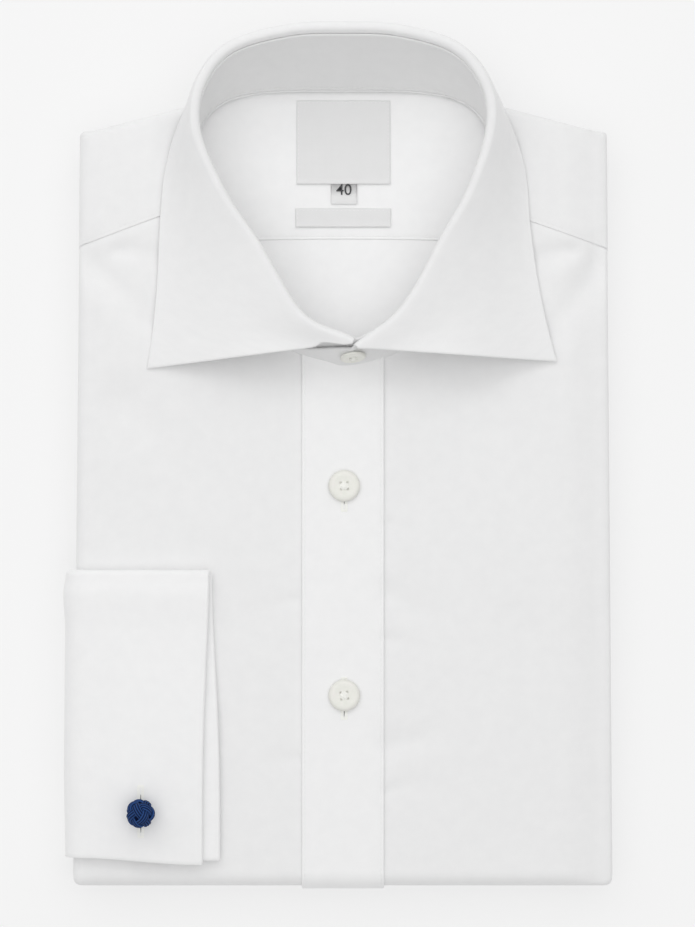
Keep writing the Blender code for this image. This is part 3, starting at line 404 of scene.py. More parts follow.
def thread_finish(name, colour):
    """Mercerised sewing thread, with a faint twist and sheen."""
    made, tree, shader = material(name, Base_Color=(*colour, 1.0), Roughness=0.55, Sheen_Weight=0.3)
    place = tree.nodes.new("ShaderNodeTexCoord").outputs["Object"]
    twist = node(tree, "TexNoise", {"Vector": place, "Scale": 6000.0})
    bump = node(tree, "Bump", {"Strength": 0.3, "Distance": 0.0001, "Height": twist})
    give(tree, shader, {"Normal": bump})
    return made


WHITE_THREAD = thread_finish("white_thread", (0.86, 0.86, 0.86))
BRIGHT_THREAD = thread_finish("bright_thread", (0.96, 0.96, 0.915))
# Not thread: a near-black sheet laid in each open buttonhole slit, painted shade for its shadowed inside.
SLIT_SHADE = thread_finish("slit_shade", (0.14, 0.14, 0.13))


def turned_over(faces):
    """The same faces from their other side, each from the same first corner."""
    return faces[:, [0, 3, 2, 1]]


def full_turn(count):
    return 2 * np.pi * np.arange(count) / count


def sampled(goals, run, line):
    """Points of a line at some of its run lengths."""
    return np.stack([np.interp(goals, run, values) for values in np.transpose(line)], axis=-1)


def thread_row(name, path, out=UP, pitch=2.2, length=1.8, radius=0.09):
    """A row of lockstitches: short bars of thread end to end, each dipping at its ends."""
    run = running(path)
    along = np.linspace(-0.5, 0.5, 5)
    spots = np.arange(pitch / 2, run[-1] - pitch / 2, pitch)[:, None] + along * length
    middle = sampled(spots, run, path)
    up = unit(sampled(spots, run, np.broadcast_to(out, path.shape)))
    side = unit(np.cross(up, unit(np.gradient(middle, axis=1))))
    middle = middle + up * (radius * (0.4 - 5.2 * along ** 2))[:, None]
    turn = full_turn(5)[:, None]
    ring = side[..., None, :] * np.cos(turn) + up[..., None, :] * np.sin(turn)
    number = numbered(len(spots), 5, 5)
    faces = quads(number, closed=True).tolist()
    faces += number[:, 0].tolist() + number[:, -1, ::-1].tolist()
    return fasten(shape(name, middle[..., None, :] + ring * radius, faces, WHITE_THREAD))


def buttonhole(name, centre, half_length, open_from, open_to, surface):
    """Worked slit: zigzag thread down both sides, a bar at each end, and a dark sheet between them that is
    painted shade for the open slit.
    """
    bars = [((side * 0.22, step), (side * 1.5, step + 0.12)) for side in (-1, 1)
            for step in np.arange(-half_length, half_length, ZIGZAG_STEP)]
    for end in (-half_length - 0.3, half_length + 0.3):
        bars += [((-reach, end + step), (reach, end + step))
                 for step, reach in ((-0.3, 1.295), (0.05, 1.3825), (0.4, 1.26))]
    bars = np.array(bars) + centre
    halves = np.array([0.0, 0.5, 1.0])[:, None]
    places = mix(bars[:, :1], bars[:, 1:], halves)
    line = surface(places[..., 0], places[..., 1])
    side = unit(np.cross(UP, unit(line[:, -1] - line[:, 0])))
    turn = (math.pi * np.arange(5) / 4)[:, None]
    ring = side[:, None] * np.cos(turn) + 0.9 * UP * np.sin(turn)
    points = (line[:, :, None] + ring[:, None] * ZIGZAG_RADIUS).reshape(-1, 3)
    bend = np.linspace(-math.pi / 2, math.pi / 2, 9)[:, None]
    # The open slit is a dark sheet just above the cloth between the zigzags: painted shade.
    gap = surface(centre[0] + GAP_HALF_WIDTH * np.cos(bend) * (-1, 1),
                  centre[1] + mix(open_from, open_to, 0.5 + 0.5 * np.sin(bend)) * (1, 1))
    faces = turned_over(quads(numbered(len(bars), 3, 5)))
    gap_faces = turned_over(quads(numbered(9, 2, start=len(points))))
    made = shape(name, np.vstack([points, gap.reshape(-1, 3) + 0.03 * UP]), np.vstack([faces, gap_faces]),
                 BRIGHT_THREAD)
    made.data.materials.append(SLIT_SHADE)
    shades = np.repeat(np.array([0, 1], np.int32), (len(faces), len(gap_faces)))
    made.data.polygons.foreach_set("material_index", shades)
    return fasten(made)


placket_xs = np.array([PLACKET_LEFT, -15.54, -15.4, -15.1, -14.8, -14.5, -14.2, -13.9, -13.6, -13.2,
                       *np.linspace(-12.4, 16.4, 17), 17.3, 17.7, 18.0, 18.3, 18.6, 18.9, 19.2,
                       19.45, 19.63, PLACKET_RIGHT])
placket_shares = with_rims(steps_between(0.0, 1.0, 1 / 150), (0.0003, 0.001))
placket_flat = together(placket_xs[:, None],
                        mix(PANEL_BOTTOM, neck_y(placket_xs, True)[:, None], placket_shares))
# The placket is drawn in the lighter poplin copy, which is painted light.
placket = cloth_piece("placket_cloth", "front_placket",
                      placket_face(placket_flat[..., 0], placket_flat[..., 1], 0.0), placket_flat,
                      PAINTED_LIGHT_POPLIN, PLACKET_THICK)
for side, line in (("outer", PLACKET_LEFT + EDGE_STITCH), ("inner", PLACKET_RIGHT - EDGE_STITCH)):
    row = placket_face(line, np.linspace(HEM_Y + 2.0, 44.0, 240))
    thread_row(f"placket_stitching_{side}", row)
for number, (y, (shift, *slit)) in enumerate(zip(BUTTON_YS, BUTTONHOLES), start=1):
    buttonhole(f"placket_buttonhole_{number}", (BUTTON_X, y + shift), *slit,
                                   placket_face)


# ---------------------------------------------------------------- the yoke
# The outer yoke is one panel over both shoulders, with the back of the neck cut out of
# it. Its front edges are turned under, lie on the fronts and are edge-stitched.

YOKE_LIFT = 0.15
YOKE_COLUMNS = 190


def outline_run(corners, start, end):
    """Evenly spaced places along an open run of corners, from start to end."""
    line = np.array([start, *corners, end], float)
    run = running(line)
    return sampled(np.linspace(0.0, run[-1], YOKE_COLUMNS), run, line)


def on_seam(x):
    return x, float(yoke_seam_y(x))


neck_half = NECK_HALF_WIDTH - 0.9
half_turn = np.cos(np.linspace(0.0, math.pi, 400))
neck_xs = NECK_X + neck_half * np.sign(half_turn) * np.abs(half_turn) ** (2 / NECK_BACK_POWER)
neck_line = together(neck_xs, neck_y(neck_xs, False))
neck_line = neck_line[neck_line[:, 1] > yoke_seam_y(neck_xs) + 0.5]
inner_line = outline_run(neck_line, on_seam(NECK_X + neck_half), on_seam(NECK_X - neck_half))
outer_line = outline_run(inset(ROLL_START, -WRAP)[2:], on_seam(PANEL_RIGHT), on_seam(PANEL_LEFT))
yoke_shares = with_rims(steps_between(0.0, 1.0, 1 / 44), (0.002, 0.006))[:, None]
yoke_flat = mix(inner_line[:, None], outer_line[:, None], yoke_shares)
ahead = np.array([0.0, 0.06, 0.25, 0.5, 0.8, 1.2, 1.7, 2.3])[:, None]
front_edge_right = yoke_flat[0] + (ahead * (0.31, 0.95))[:, None]
front_edge_left = yoke_flat[-1] + (ahead * (-0.33, 0.94))[::-1, None]
yoke_flat = np.concatenate([front_edge_right, yoke_flat[2:-2], front_edge_left])
from_seam = yoke_flat[..., 1] - yoke_seam_y(yoke_flat[..., 0])
yoke_middle = skin(yoke_flat[..., 0], yoke_flat[..., 1], YOKE_LIFT - POPLIN / 2)
yoke_middle[..., 2] -= 0.05 * bell(from_seam - 1.4, 0.6)
yoke = cloth_piece("yoke_cloth", "yoke", yoke_middle, yoke_flat, WHITE_POPLIN)
for side, ends in (("left", (66.0, RIGHT_TOP - 1.0)), ("right", (LEFT_TOP + 1.0, -61.0))):
    xs = np.linspace(*ends, 60)
    row = skin(xs, yoke_seam_y(xs) + 1.4, YOKE_LIFT - 0.04)
    thread_row(f"yoke_stitching_{side}", row)


# ---------------------------------------------------------------- inside the neck
# Looking into the neck one sees the inner yoke and, below its seam, the inside of the
# back. Both are poplin, lying flat on the folds beneath and rising a little to the band.

INNER_TOP, INNER_RISE = 15.4, 1.3
INNER_MARGIN = 4.0
INNER_SEAM_Y = 94.0
INNER_STITCH = 1.3


def inner_height(x, y):
    """Top of the inner cloth: low in the middle, rising towards the seam."""
    rise = INNER_RISE * smooth((neck_reach(x, y) - 0.45) / 0.5)
    ripple = 0.18 * np.sin(x / 11.0 + y / 37.0 + 0.4) * np.sin(y / 15.0 - x / 33.0)
    fold = 0.35 * bell(x - 16.0 + (y - 70.0) * 0.35, 5.0) * smooth((88.0 - y) / 20.0)
    fold = fold + 0.30 * bell(x + 12.0 - (y - 70.0) * 0.30, 4.0) * smooth((86.0 - y) / 18.0)
    return INNER_TOP + rise + ripple - fold


def inner_seam(x):
    return INNER_SEAM_Y + 1.2 * (1.0 - ((x - NECK_X) / 60.0) ** 2)


quarter_turns = np.linspace(-math.pi / 2, math.pi / 2, 80)
inner_xs = with_rims(NECK_X + (NECK_HALF_WIDTH + INNER_MARGIN) * np.sin(quarter_turns))


def inner_cloth(solid, low, high, lift, shares):
    """One inner panel between two lines across the neck."""
    flat = together(inner_xs[:, None], mix(low[:, None], high[:, None], shares))
    x, y = flat[..., 0], flat[..., 1]
    height = inner_height(x, y) + lift - POPLIN / 2 - 0.14 * bell(y - inner_seam(x) - INNER_STITCH, 0.5)
    # Both inner panels are drawn in the lighter poplin copy, which is painted light.
    return cloth_piece(solid + "_cloth", solid, together(x, y, height), flat, PAINTED_LIGHT_POPLIN)


seam_line = inner_seam(inner_xs)
yoke_rows = np.array([0.0, 0.001, 0.004, 0.008, 0.013, 0.019, 0.026, 0.035,
                      *np.linspace(0.05, 0.985, 38), 0.996, 1.0])
back_rows = with_rims(steps_between(0.0, 1.0, 1 / 44), (0.001, 0.005))
inner_yoke = inner_cloth("inner_yoke", seam_line, np.minimum(neck_y(inner_xs, False, -1.5), 160.0),
                         0.45, yoke_rows)
inner_back = inner_cloth("inner_back",
                         np.minimum(neck_y(inner_xs, True, -INNER_MARGIN), seam_line - 3.0),
                         seam_line + 0.7, 0.0, back_rows)
seam_xs = np.linspace(-58.0, 62.0, 90)
seam_ys = inner_seam(seam_xs) + INNER_STITCH
inner_stitching = thread_row("inner_seam_stitching",
                             together(seam_xs, seam_ys, inner_height(seam_xs, seam_ys) + 0.36))


# ---------------------------------------------------------------- labels in the neck
# Three woven tape labels on the inner yoke: a square one sewn down on three sides, a
# folded size tab caught under it, and a narrow one below. They are bare but for the plain
# collar size on the tab.

# Each label: left, right, low and high edge
LABELS = {"main_label": (-18.0, 22.4, 118.9, 154.7), "lower_label": (-18.4, 22.7, 100.4, 108.5)}
LABEL_LIFT, LABEL_THICK, LABEL_MARGIN, LABEL_CURL = 0.55, 0.5, 0.9, 0.25
TAB_LEFT, TAB_RIGHT, TAB_LOW, TAB_HIGH = -3.1, 8.1, 110.3, 119.3
TAB_THICK, TAB_LOOP = 0.28, 0.17
DIGIT_X, DIGIT_Y, DIGIT_SIZE = 2.5, 116.3, 6.8

LABEL_TAPE = poplin("label_tape", (0.80, 0.80, 0.80), (0.80 * 0.97,) * 3, 0.12, 620.0, 0.6, 0.35)
INK = thread_finish("woven_ink", (0.045, 0.045, 0.05))


def label_height(x, y):
    return inner_height(x, y) + LABEL_LIFT


def finished_mesh(made):
    """A plain mesh of an object as it stands, with its cuts made."""
    bpy.context.view_layer.update()
    return bpy.data.meshes.new_from_object(made.evaluated_get(bpy.context.evaluated_depsgraph_get()))


for name, (left, right, low, high) in LABELS.items():
    xs, ys = (with_rims(steps_between(*ends, 0.9)) for ends in ((left, right), (low, high)))
    flat = together(xs[:, None], ys)
    z = label_height(xs[:, None], ys) + LABEL_THICK / 2 + LABEL_CURL * smooth((low + 2.2 - ys) / 2.2)
    piece = cloth_piece(name + "_tape", name, together(xs[:, None], ys, z), flat, LABEL_TAPE,
                        LABEL_THICK)
    near, far, top, foot = left + LABEL_MARGIN, right - LABEL_MARGIN, high - LABEL_MARGIN, low + 1.2
    for number, (x0, y0, x1, y1) in enumerate([(near, foot, near, top), (far, top, far, foot),
                                               (near, top, far, top)]):
        xs, ys = np.linspace(x0, x1, 30), np.linspace(y0, y1, 30)
        row = together(xs, ys, label_height(xs, ys) + LABEL_THICK - 0.10)
        thread_row(f"{name}_stitching_{number}", row, UP, 1.8, 1.3, 0.12)

tab_x = with_rims(steps_between(TAB_LEFT, TAB_RIGHT, 0.8))[:, None]
loop = np.linspace(0.0, math.pi, 9)
fold_ys, fold_zs = TAB_LOW + 0.2 - TAB_LOOP * np.sin(loop), TAB_LOOP * (1.0 - np.cos(loop))
tab_run = np.array([(TAB_HIGH, 0.0), *zip(fold_ys, fold_zs), (TAB_HIGH, 2 * TAB_LOOP)])
tab_z = label_height(tab_x, tab_run[:, 0]) + tab_run[:, 1] + 0.12
tab = cloth_piece("size_tab_tape", "size_tab", together(tab_x, tab_run[:, 0], tab_z),
                  together(tab_x, 1.0 + np.arange(len(tab_run))), LABEL_TAPE, TAB_THICK)
digits = bpy.data.curves.new("size_number_text", "FONT")
digits.body = "40"
digits.size, digits.extrude, digits.offset = DIGIT_SIZE * MM, 0.04 * MM, 0.02 * MM
digits.align_x, digits.align_y = "CENTER", "CENTER"
drawn = placed("size_number_text", digits)
number_mesh = finished_mesh(drawn)
bpy.data.objects.remove(drawn)
number_mesh.materials.clear()
number_mesh.materials.append(INK)
digit_z = float(label_height(np.array(DIGIT_X), np.array(DIGIT_Y))) + 0.63
size_number = fasten(placed("size_number", number_mesh))
size_number.location = (DIGIT_X * MM, DIGIT_Y * MM, digit_z * MM)


# ---------------------------------------------------------------- the hidden layers
# Back, tails and sleeves are folded under the fronts. From the side their folds show as
# soft plies of poplin under the rolled edge; the lowest one lies flat on the table.

CORE_DROP, UNDER_NECK = 1.8, 2.2
HOLLOW, HOLLOW_WIDTH = 1.75, 14.0
CORE_RADIUS = ROLL - CORE_DROP
CORE_RIM = inset(BODY_OUTLINE, ROLL)
# Below the roll: how far each level of the plies is drawn in, and its height
PLY_LEVELS = [(5.4, 6.9), (3.9, 6.3), (3.3, 5.6), (3.2, 5.1), (4.0, 4.5), (5.0, 4.2), (3.9, 3.9),
              (3.1, 3.3), (3.1, 2.7), (4.2, 2.15), (5.2, 1.95), (3.8, 1.7), (3.0, 1.1), (3.1, 0.6),
              (3.8, 0.15), (4.8, 0.0)]
SLEEVE_POCKET = 18.0


def core_height(x, y):
    """Top of the hidden layers: under the fronts, and lower inside the neck."""
    under_knot = HOLLOW * bell(np.hypot(x - KNOT_X, y - KNOT_Y), HOLLOW_WIDTH)
    under_front = BODY_TOP + relief(x, y) - CORE_DROP - under_knot
    outside = smooth((neck_reach(x, y) - 1.16) / 0.12)
    return np.minimum(under_front, mix(inner_height(x, y) - UNDER_NECK, BODY_TOP, outside))


across = np.linspace(0.0, 1.0, 70)[:, None]
bottom_left, bottom_right, top_right, top_left = CORE_RIM[[0, 1, 2, -1]]
shoulder = CORE_RIM[:1:-1]
upper_y = np.interp(mix(top_left[0], top_right[0], across), shoulder[:, 0], shoulder[:, 1])
core_y = mix(bottom_left[1], upper_y, np.linspace(0.0, 1.0, 110))
side_part = np.clip((core_y - bottom_left[1]) / (top_left[1] - bottom_left[1]), 0.0, 1.0)
core_x = mix(mix(bottom_left[0], top_left[0], side_part), mix(bottom_right[0], top_right[0], side_part),
             across)
core_top = together(core_x + press(core_x, core_y), core_y, core_height(core_x, core_y))
number = numbered(*core_x.shape)
rim = np.concatenate([number[:-1, 0], number[-1, :-1], number[:0:-1, -1], number[0, :0:-1]])
rim_places = together(core_x.ravel()[rim], core_y.ravel()[rim])
along = np.roll(rim_places, -1, axis=0) - np.roll(rim_places, 1, axis=0)
rim_out = unit(together(along[:, 1], -along[:, 0]))
rim_run = np.cumsum(np.linalg.norm(along, axis=1)) / 2.0
levels = [(CORE_RADIUS * math.sin(math.radians(turn)), ROLL_Z + CORE_RADIUS * math.cos(math.radians(turn)))
          for turn in (25, 45, 65, 90, 120, 150)]
levels += [(ROLL - away, height) for away, height in PLY_LEVELS]
points = [core_top.reshape(-1, 3)]
for index, (reach, height) in enumerate(levels):
    if index > 6 and height > 0.5:
        ply = index // 4
        reach = reach - 0.2 + 0.35 * np.sin(rim_run / 43.0 + ply) * np.sin(rim_run / 71.0 + 2 * ply)
    if height < 3.4:
        pocket = smooth((rim_places[:, 1] + 175.0) / 2.0) * smooth(-44.0 - rim_places[:, 1])
        reach = reach - SLEEVE_POCKET * pocket * (rim_out[:, 0] < -0.8)
    spot = rim_places + rim_out * np.reshape(reach, (-1, 1))
    z = np.full(len(rim), height)
    if height > ROLL_Z:
        bent = height + relief(*rim_places.T) * (height - ROLL_Z) / CORE_RADIUS
        z = np.minimum(bent, core_height(*rim_places.T) - 0.05)
    points.append(together(spot[:, 0] + press(*spot.T), spot[:, 1], z))
rings = np.vstack([rim, numbered(len(levels), len(rim), start=number.size)])
points = np.concatenate(points)
layer_faces = quads(number).tolist() + quads(rings, closed=True).tolist() + [rings[-1, ::-1].tolist()]
layers = shape("folded_layers_cloth", points, layer_faces, WHITE_POPLIN, points[:, :2])
layers.data.validate()
fasten(layers, "folded_layers")


# ---------------------------------------------------------------- the collar band
# The band is a stiff, interlined strip of poplin that stands round the neck. Its lower
# edge is sewn to the neck, its upper edge to the leaf, and its rounded ends lap at the
# front, the left one over the right, under the collar button.

# Each station, front to back: share of the half neck, the ridge's x, y and z, the leaf
# edge's x, y and z, and the slopes in degrees at which the leaf leaves the ridge and lands
COLLAR_RIGHT = [
    (0.000, 6.6, 48.8, 38.2, 94.0, 42.3, 20.2, 7, 5),
    (0.147, 26.4, 64.1, 38.0, 89.2, 61.0, 20.0, 9, 8),
    (0.282, 43.4, 91.7, 39.0, 85.2, 81.5, 19.95, 17, 12),
    (0.410, 56.1, 112.8, 41.0, 82.5, 102.0, 19.95, 34, 16),
    (0.573, 65.0, 140.0, 43.3, 80.3, 124.5, 19.95, 54, 20),
    (0.662, 63.3, 159.4, 45.0, 73.0, 146.5, 19.9, 68, 34),
    (0.753, 50.3, 175.4, 46.5, 62.0, 165.8, 12.0, 78, 66),
    (0.875, 26.3, 182.8, 48.0, 32.0, 183.3, 5.6, 85, 86),
]
COLLAR_BACK = [(1.000, 2.4, 184.0, 48.0, 2.4, 185.3, 4.6, 86, 91)]
COLLAR_LEFT = [
    (0.000, 5.4, 49.0, 36.8, -82.2, 39.2, 20.2, 7, 5),
    (0.147, -18.0, 61.0, 38.0, -79.3, 60.0, 20.0, 9, 8),
    (0.282, -37.5, 93.8, 39.0, -77.6, 81.5, 19.95, 17, 12),
    (0.410, -51.0, 116.0, 41.0, -76.6, 103.0, 19.95, 34, 16),
    (0.573, -60.7, 140.0, 43.3, -74.2, 125.0, 19.95, 54, 20),
    (0.662, -58.9, 159.8, 45.0, -67.5, 146.5, 19.9, 68, 34),
    (0.753, -46.3, 175.4, 46.5, -57.0, 165.8, 12.0, 78, 66),
    (0.875, -21.5, 182.8, 48.0, -27.0, 183.3, 5.6, 85, 86),
]
COLLAR = np.array(COLLAR_RIGHT + COLLAR_BACK + COLLAR_LEFT[::-1], float)
COLLAR_ENDS = len(COLLAR) - 1
BAND_SIDESTEP = 1.5
BAND_RIGHT_END = np.array((-21.0, 46.6, 26.0))
BAND_THICK = 1.4
SEAM_Z, OVER_PLACKET, BACK_DIP = 19.75, 0.3, 0.5
BAND_STITCH = 1.9
LEAF_INSIDE, LEAF_ROLL = 1.7, 1.8


def through(values, places):
    """Catmull-Rom values at places along evenly numbered rows."""
    index = np.clip(places.astype(int), 0, len(values) - 2)
    part = (places - index)[:, None]
    padded = np.vstack([2 * values[0] - values[1], values, 2 * values[-1] - values[-2]])
    before, start, end, after = (padded[index + shift] for shift in range(4))
    first, second = (end - before) / 2, (after - start) / 2
    square, cube = part ** 2, part ** 3
    return (start * (2 * cube - 3 * square + 1) + first * (cube - 2 * square + part)
            + end * (3 * square - 2 * cube) + second * (cube - square))


def neck_seam(side):
    """The half neck seam from front to back."""
    angle = np.linspace(0.0, math.pi, 401)
    front = angle < math.pi / 2
    power = np.where(front, NECK_FRONT_POWER, NECK_BACK_POWER)
    deep = np.where(front, NECK_FRONT, NECK_BACK)
    x = NECK_X + side * NECK_HALF_WIDTH * np.abs(np.sin(angle)) ** (2.0 / power)
    y = NECK_Y - np.sign(np.cos(angle)) * deep * np.abs(np.cos(angle)) ** (2.0 / power)
    return together(x, y)


def collar_stations(places):
    """Neck base, ridge, leaf edge, slopes and outward direction at places round the collar."""
    row = np.clip(places.astype(int), 0, COLLAR_ENDS - 1)
    along = mix(COLLAR[row, 0], COLLAR[row + 1, 0], places - row)
    base = np.zeros((len(places), 3))
    for side, here in ((1, places <= len(COLLAR_RIGHT)), (-1, places > len(COLLAR_RIGHT))):
        line = neck_seam(side)
        run = running(line)
        base[here, :2] = sampled(np.clip(along[here], 0.0, 1.0) * run[-1], run, line)
    over_placket = OVER_PLACKET * (1.0 - smooth((along - 0.10) / 0.06))
    base[:, 2] = SEAM_Z + over_placket - BACK_DIP * smooth((along - 0.6) / 0.2)
    ridges = COLLAR[:, 1:4]
    ahead = through(ridges, np.minimum(places + 0.33, COLLAR_ENDS))
    run = ahead - through(ridges, np.maximum(places - 0.33, 0.0))
    out = unit(together(run[:, 1], -run[:, 0], 0.0))
    from_end = np.minimum(places, COLLAR_ENDS - places) * 3.0
    lap = 1.0 - smooth((from_end - 4.0) / 4.0)
    side = np.where(places < COLLAR_ENDS / 2, 1.0, -1.0)
    step = out * (BAND_SIDESTEP * lap * side)[:, None]
    fall, lay = np.radians(through(COLLAR[:, 7:9], places)).T
    return {"base": base + step, "ridge": through(ridges, places) + step, "out": out,
            "edge": through(COLLAR[:, 4:7], places), "fall": fall[:, None], "lay": lay[:, None],
            "front": np.clip(1.0 - along, 0.0, 1.0)[:, None]}


def standing(stations):
    """Foot and top of the standing cloth, its upward direction and its outward normal."""
    base, ridge, out = stations["base"], stations["ridge"], stations["out"]
    rise = unit(ridge - base)
    for _ in range(2):
        normal = unit(out - rise * (rise * out).sum(axis=1)[:, None])
        top = ridge - (UP + normal) * LEAF_ROLL
        rise = unit(top - base)
    return base, top, rise, normal


def band_stations(places):
    """Stations past both ends too, where each end laps the other."""
    inside, over, under = (collar_stations(np.clip(places + shift, 0.0, COLLAR_ENDS))
                           for shift in (0.0, COLLAR_ENDS, -COLLAR_ENDS))
    before, past = (places < 0)[:, None], (places > COLLAR_ENDS)[:, None]
    close = 2 * BAND_SIDESTEP - 1.3 * smooth(np.maximum(-places, places - COLLAR_ENDS) / 0.3)[:, None]
    for key in ("base", "ridge", "out"):
        step = close * (key != "out")
        inside[key] = np.where(before, over[key] + over["out"] * step, inside[key])
        inside[key] = np.where(past, under[key] - under["out"] * step, inside[key])
    first_ridge = collar_stations(np.zeros(1))["ridge"]
    straight = mix(BAND_RIGHT_END, first_ridge, 1.0 + places[:, None])
    inside["ridge"] = np.where(before, straight, inside["ridge"])
    return inside


band_places = with_rims(steps_between(-1.0, COLLAR_ENDS + 1.0, 1 / 16), (0.004, 0.015))
foot, top, rise, normal = standing(band_stations(band_places))
tall = np.linalg.norm(top - foot, axis=1) - LEAF_INSIDE - 0.2
from_end = np.minimum(band_places + 1.0, COLLAR_ENDS + 1.0 - band_places)
rounding = np.where(band_places < 0, 0.25, 0.38) * (1.0 - np.minimum(1.0, from_end / 0.66)) ** 2
tall = (tall * (1.0 - rounding))[:, None]
band_shares = np.array([0.0, 0.004, 0.012, 0.03, 0.05, 0.07, 0.09, 0.11, 0.14,
                        *np.linspace(0.2, 0.94, 16), 0.985, 0.996, 1.0])
bulge = 0.35 * np.sin(math.pi * band_shares)[:, None]
band_middle = foot[:, None] + rise[:, None] * (tall * band_shares)[..., None] + normal[:, None] * bulge
seam_dip = 0.14 * bell(band_shares * tall - BAND_STITCH, 0.6) - 0.30 * smooth((band_shares - 0.95) / 0.04)
# The band is drawn in the darker poplin copy, which is painted shade.
band = cloth_piece("collar_band_cloth", "collar_band", band_middle + normal[:, None] * seam_dip[..., None],
                   together(running(foot)[:, None], band_shares * tall), PAINTED_SHADE_POPLIN, BAND_THICK)
stitched = slice(20, -20)
for side, way, height in (("inside", -1, -0.10), ("outside", 1, 0.18)):
    row = foot + rise * BAND_STITCH + way * normal * (BAND_THICK / 2 + height)
    thread_row(f"band_stitching_{side}", row[stitched], way * normal[stitched])


# ---------------------------------------------------------------- the collar leaf
# The leaf is two layers of poplin over a fused interlining. It rises from the band, rolls
# over in a soft ridge and falls to a spread point on each side, with its edge turned and
# pressed. A row of stitching follows the edge.

LEAF_THICK = 1.1
LEAF_STITCH = 6.0
LEAF_CURL, LEAF_CURL_LENGTH = 5.2, 17.0
# Soft waves round the leaf: place, depth and width
LEAF_WAVES = [(1.1, 0.5, 0.8), (3.0, -0.3, 0.9), (13.2, -0.3, 0.8), (14.9, 0.45, 0.8)]
LEAF_TURN = 17


def leaf_grid(places, roll_parts, fall_parts):
    """Middle of the leaf: from the band's top, over the ridge and down to its edge."""
    rows = collar_stations(places)
    _, top, rise, normal = standing(rows)
    edge, out, fall, lay = rows["edge"], rows["out"], rows["fall"], rows["lay"]
    reach = (edge - rows["ridge"]) * (1.0, 1.0, 0.0)
    short = np.linalg.norm(reach, axis=1)[:, None] <= 3.0
    reach = np.where(short, out, unit(reach))
    ahead = unit(mix(out, reach, smooth(rows["front"] * 1.8)))
    down = ahead * np.cos(fall) - UP * np.sin(fall)
    arrive = reach * np.cos(lay) - UP * np.sin(lay)
    plain = out * np.cos(fall) - UP * np.sin(fall)
    turn = np.arccos(np.clip((rise * plain).sum(axis=1), -1.0, 1.0))[:, None]
    lines = [top - rise * LEAF_INSIDE * part for part in (1.0, 0.98, 0.93, 0.8, 0.6, 0.3)]
    lines += [top + (rise * np.sin(turn * part) + normal * (1 - np.cos(turn * part))) * LEAF_ROLL
              for part in roll_parts]
    over = lines[-1]
    far = np.linalg.norm(edge - over, axis=1)[:, None]
    second, third = over + down * far * 0.34, edge - arrive * far * 0.34
    for part in fall_parts:
        rest = 1.0 - part
        lines.append(over * rest ** 3 + second * 3 * rest * rest * part
                     + third * 3 * rest * part * part + edge * part ** 3)
    return np.stack(lines, axis=1), rows["ridge"]


leaf_places = with_rims(np.concatenate([np.linspace(0, 0.6, 14), np.linspace(0.65, COLLAR_ENDS - 0.65, 190),
                                        np.linspace(COLLAR_ENDS - 0.6, COLLAR_ENDS, 14)]), (0.002, 0.008))
leaf_falls = np.array([*np.linspace(0.02, 0.94, 40), 0.955, 0.97, 0.98, 0.989, 0.996, 0.999, 1.0])
leaf_middle, leaf_ridge = leaf_grid(leaf_places, np.linspace(0.0, 1.0, 11), leaf_falls)
fall_share = np.concatenate([np.zeros(LEAF_TURN), leaf_falls])
sag = sum(depth * bell(leaf_places - centre, width) for centre, depth, width in LEAF_WAVES)
sag = sag[:, None] * np.sin(math.pi * fall_share) ** 2
leaf_middle = leaf_middle + wall_normals(leaf_middle) * sag[..., None]
curl = LEAF_CURL * smooth((fall_share - 0.12) / 0.4) * (1.0 - smooth((fall_share - 0.5) / 0.5))
notch = 3.0 * bell(fall_share - 0.105, 0.045) - 1.6 * bell(fall_share - 0.035, 0.03)
for end in (0, -1):
    from_end = np.linalg.norm(leaf_middle - leaf_middle[end], axis=2)
    shift = (curl * np.exp(-from_end / LEAF_CURL_LENGTH))[..., None] * UP
    if end == -1:
        inward = unit(leaf_middle[-13] - leaf_middle[-1])
        shift = shift + inward * (notch * bell(from_end, 7.0))[..., None]
    leaf_middle = leaf_middle + shift
leaf_flat = together(running(leaf_ridge)[:, None], running(leaf_middle, 1))
leaf = cloth_piece("collar_leaf_cloth", "collar_leaf", leaf_middle, leaf_flat, WHITE_POPLIN, LEAF_THICK)

leaf_out = wall_normals(leaf_middle)
leaf_out = leaf_out * np.sign(leaf_out[len(leaf_places) // 2, -8, 1])


def one_stitch_in(lines, outs):
    """Places on the leaf at the stitching's distance along each line, and their normals."""
    runs = [running(line) for line in lines]
    spots, facing = (np.array([sampled(LEAF_STITCH, run, part) for run, part in zip(runs, parts)])
                     for parts in (lines, outs))
    return spots, unit(facing)


for name, way in (("edge", None), ("left", 1), ("right", -1)):
    if way is None:
        spots, facing = one_stitch_in(leaf_middle[:, ::-1], leaf_out[:, ::-1])
        keep = np.minimum(leaf_places, COLLAR_ENDS - leaf_places) > 0.32
    else:
        falling = np.s_[::way, LEAF_TURN + 7:]
        spots, facing = one_stitch_in(*(part[falling].swapaxes(0, 1) for part in (leaf_middle, leaf_out)))
        keep = np.linalg.norm(spots - spots[-1], axis=1) > LEAF_STITCH
    row = spots + facing * (LEAF_THICK / 2 - 0.07)
    thread_row(f"leaf_stitching_{name}", row[keep], facing[keep])


# ---------------------------------------------------------------- the double cuff
# The cuff is a doubled, interlined band of poplin, turned back on itself. It comes round
# the left side from the sleeve under the body and lies on the front, its two ends one on
# the other, with four buttonholes in line for the link.

CUFF_THICK = 0.95
CUFF_INNER_LEAF, CUFF_OUTER_LEAF = 0.8, 2.1
CUFF_CENTRE = 2.9
CUFF_PUFF, CUFF_PUFF_LENGTH = 0.5, 24.0
CUFF_EDGE_FRONT = (-58.1, -55.3)
CUFF_EDGE_BACK = (-50.7, -54.2)
CUFF_SIDE_END = 14.0
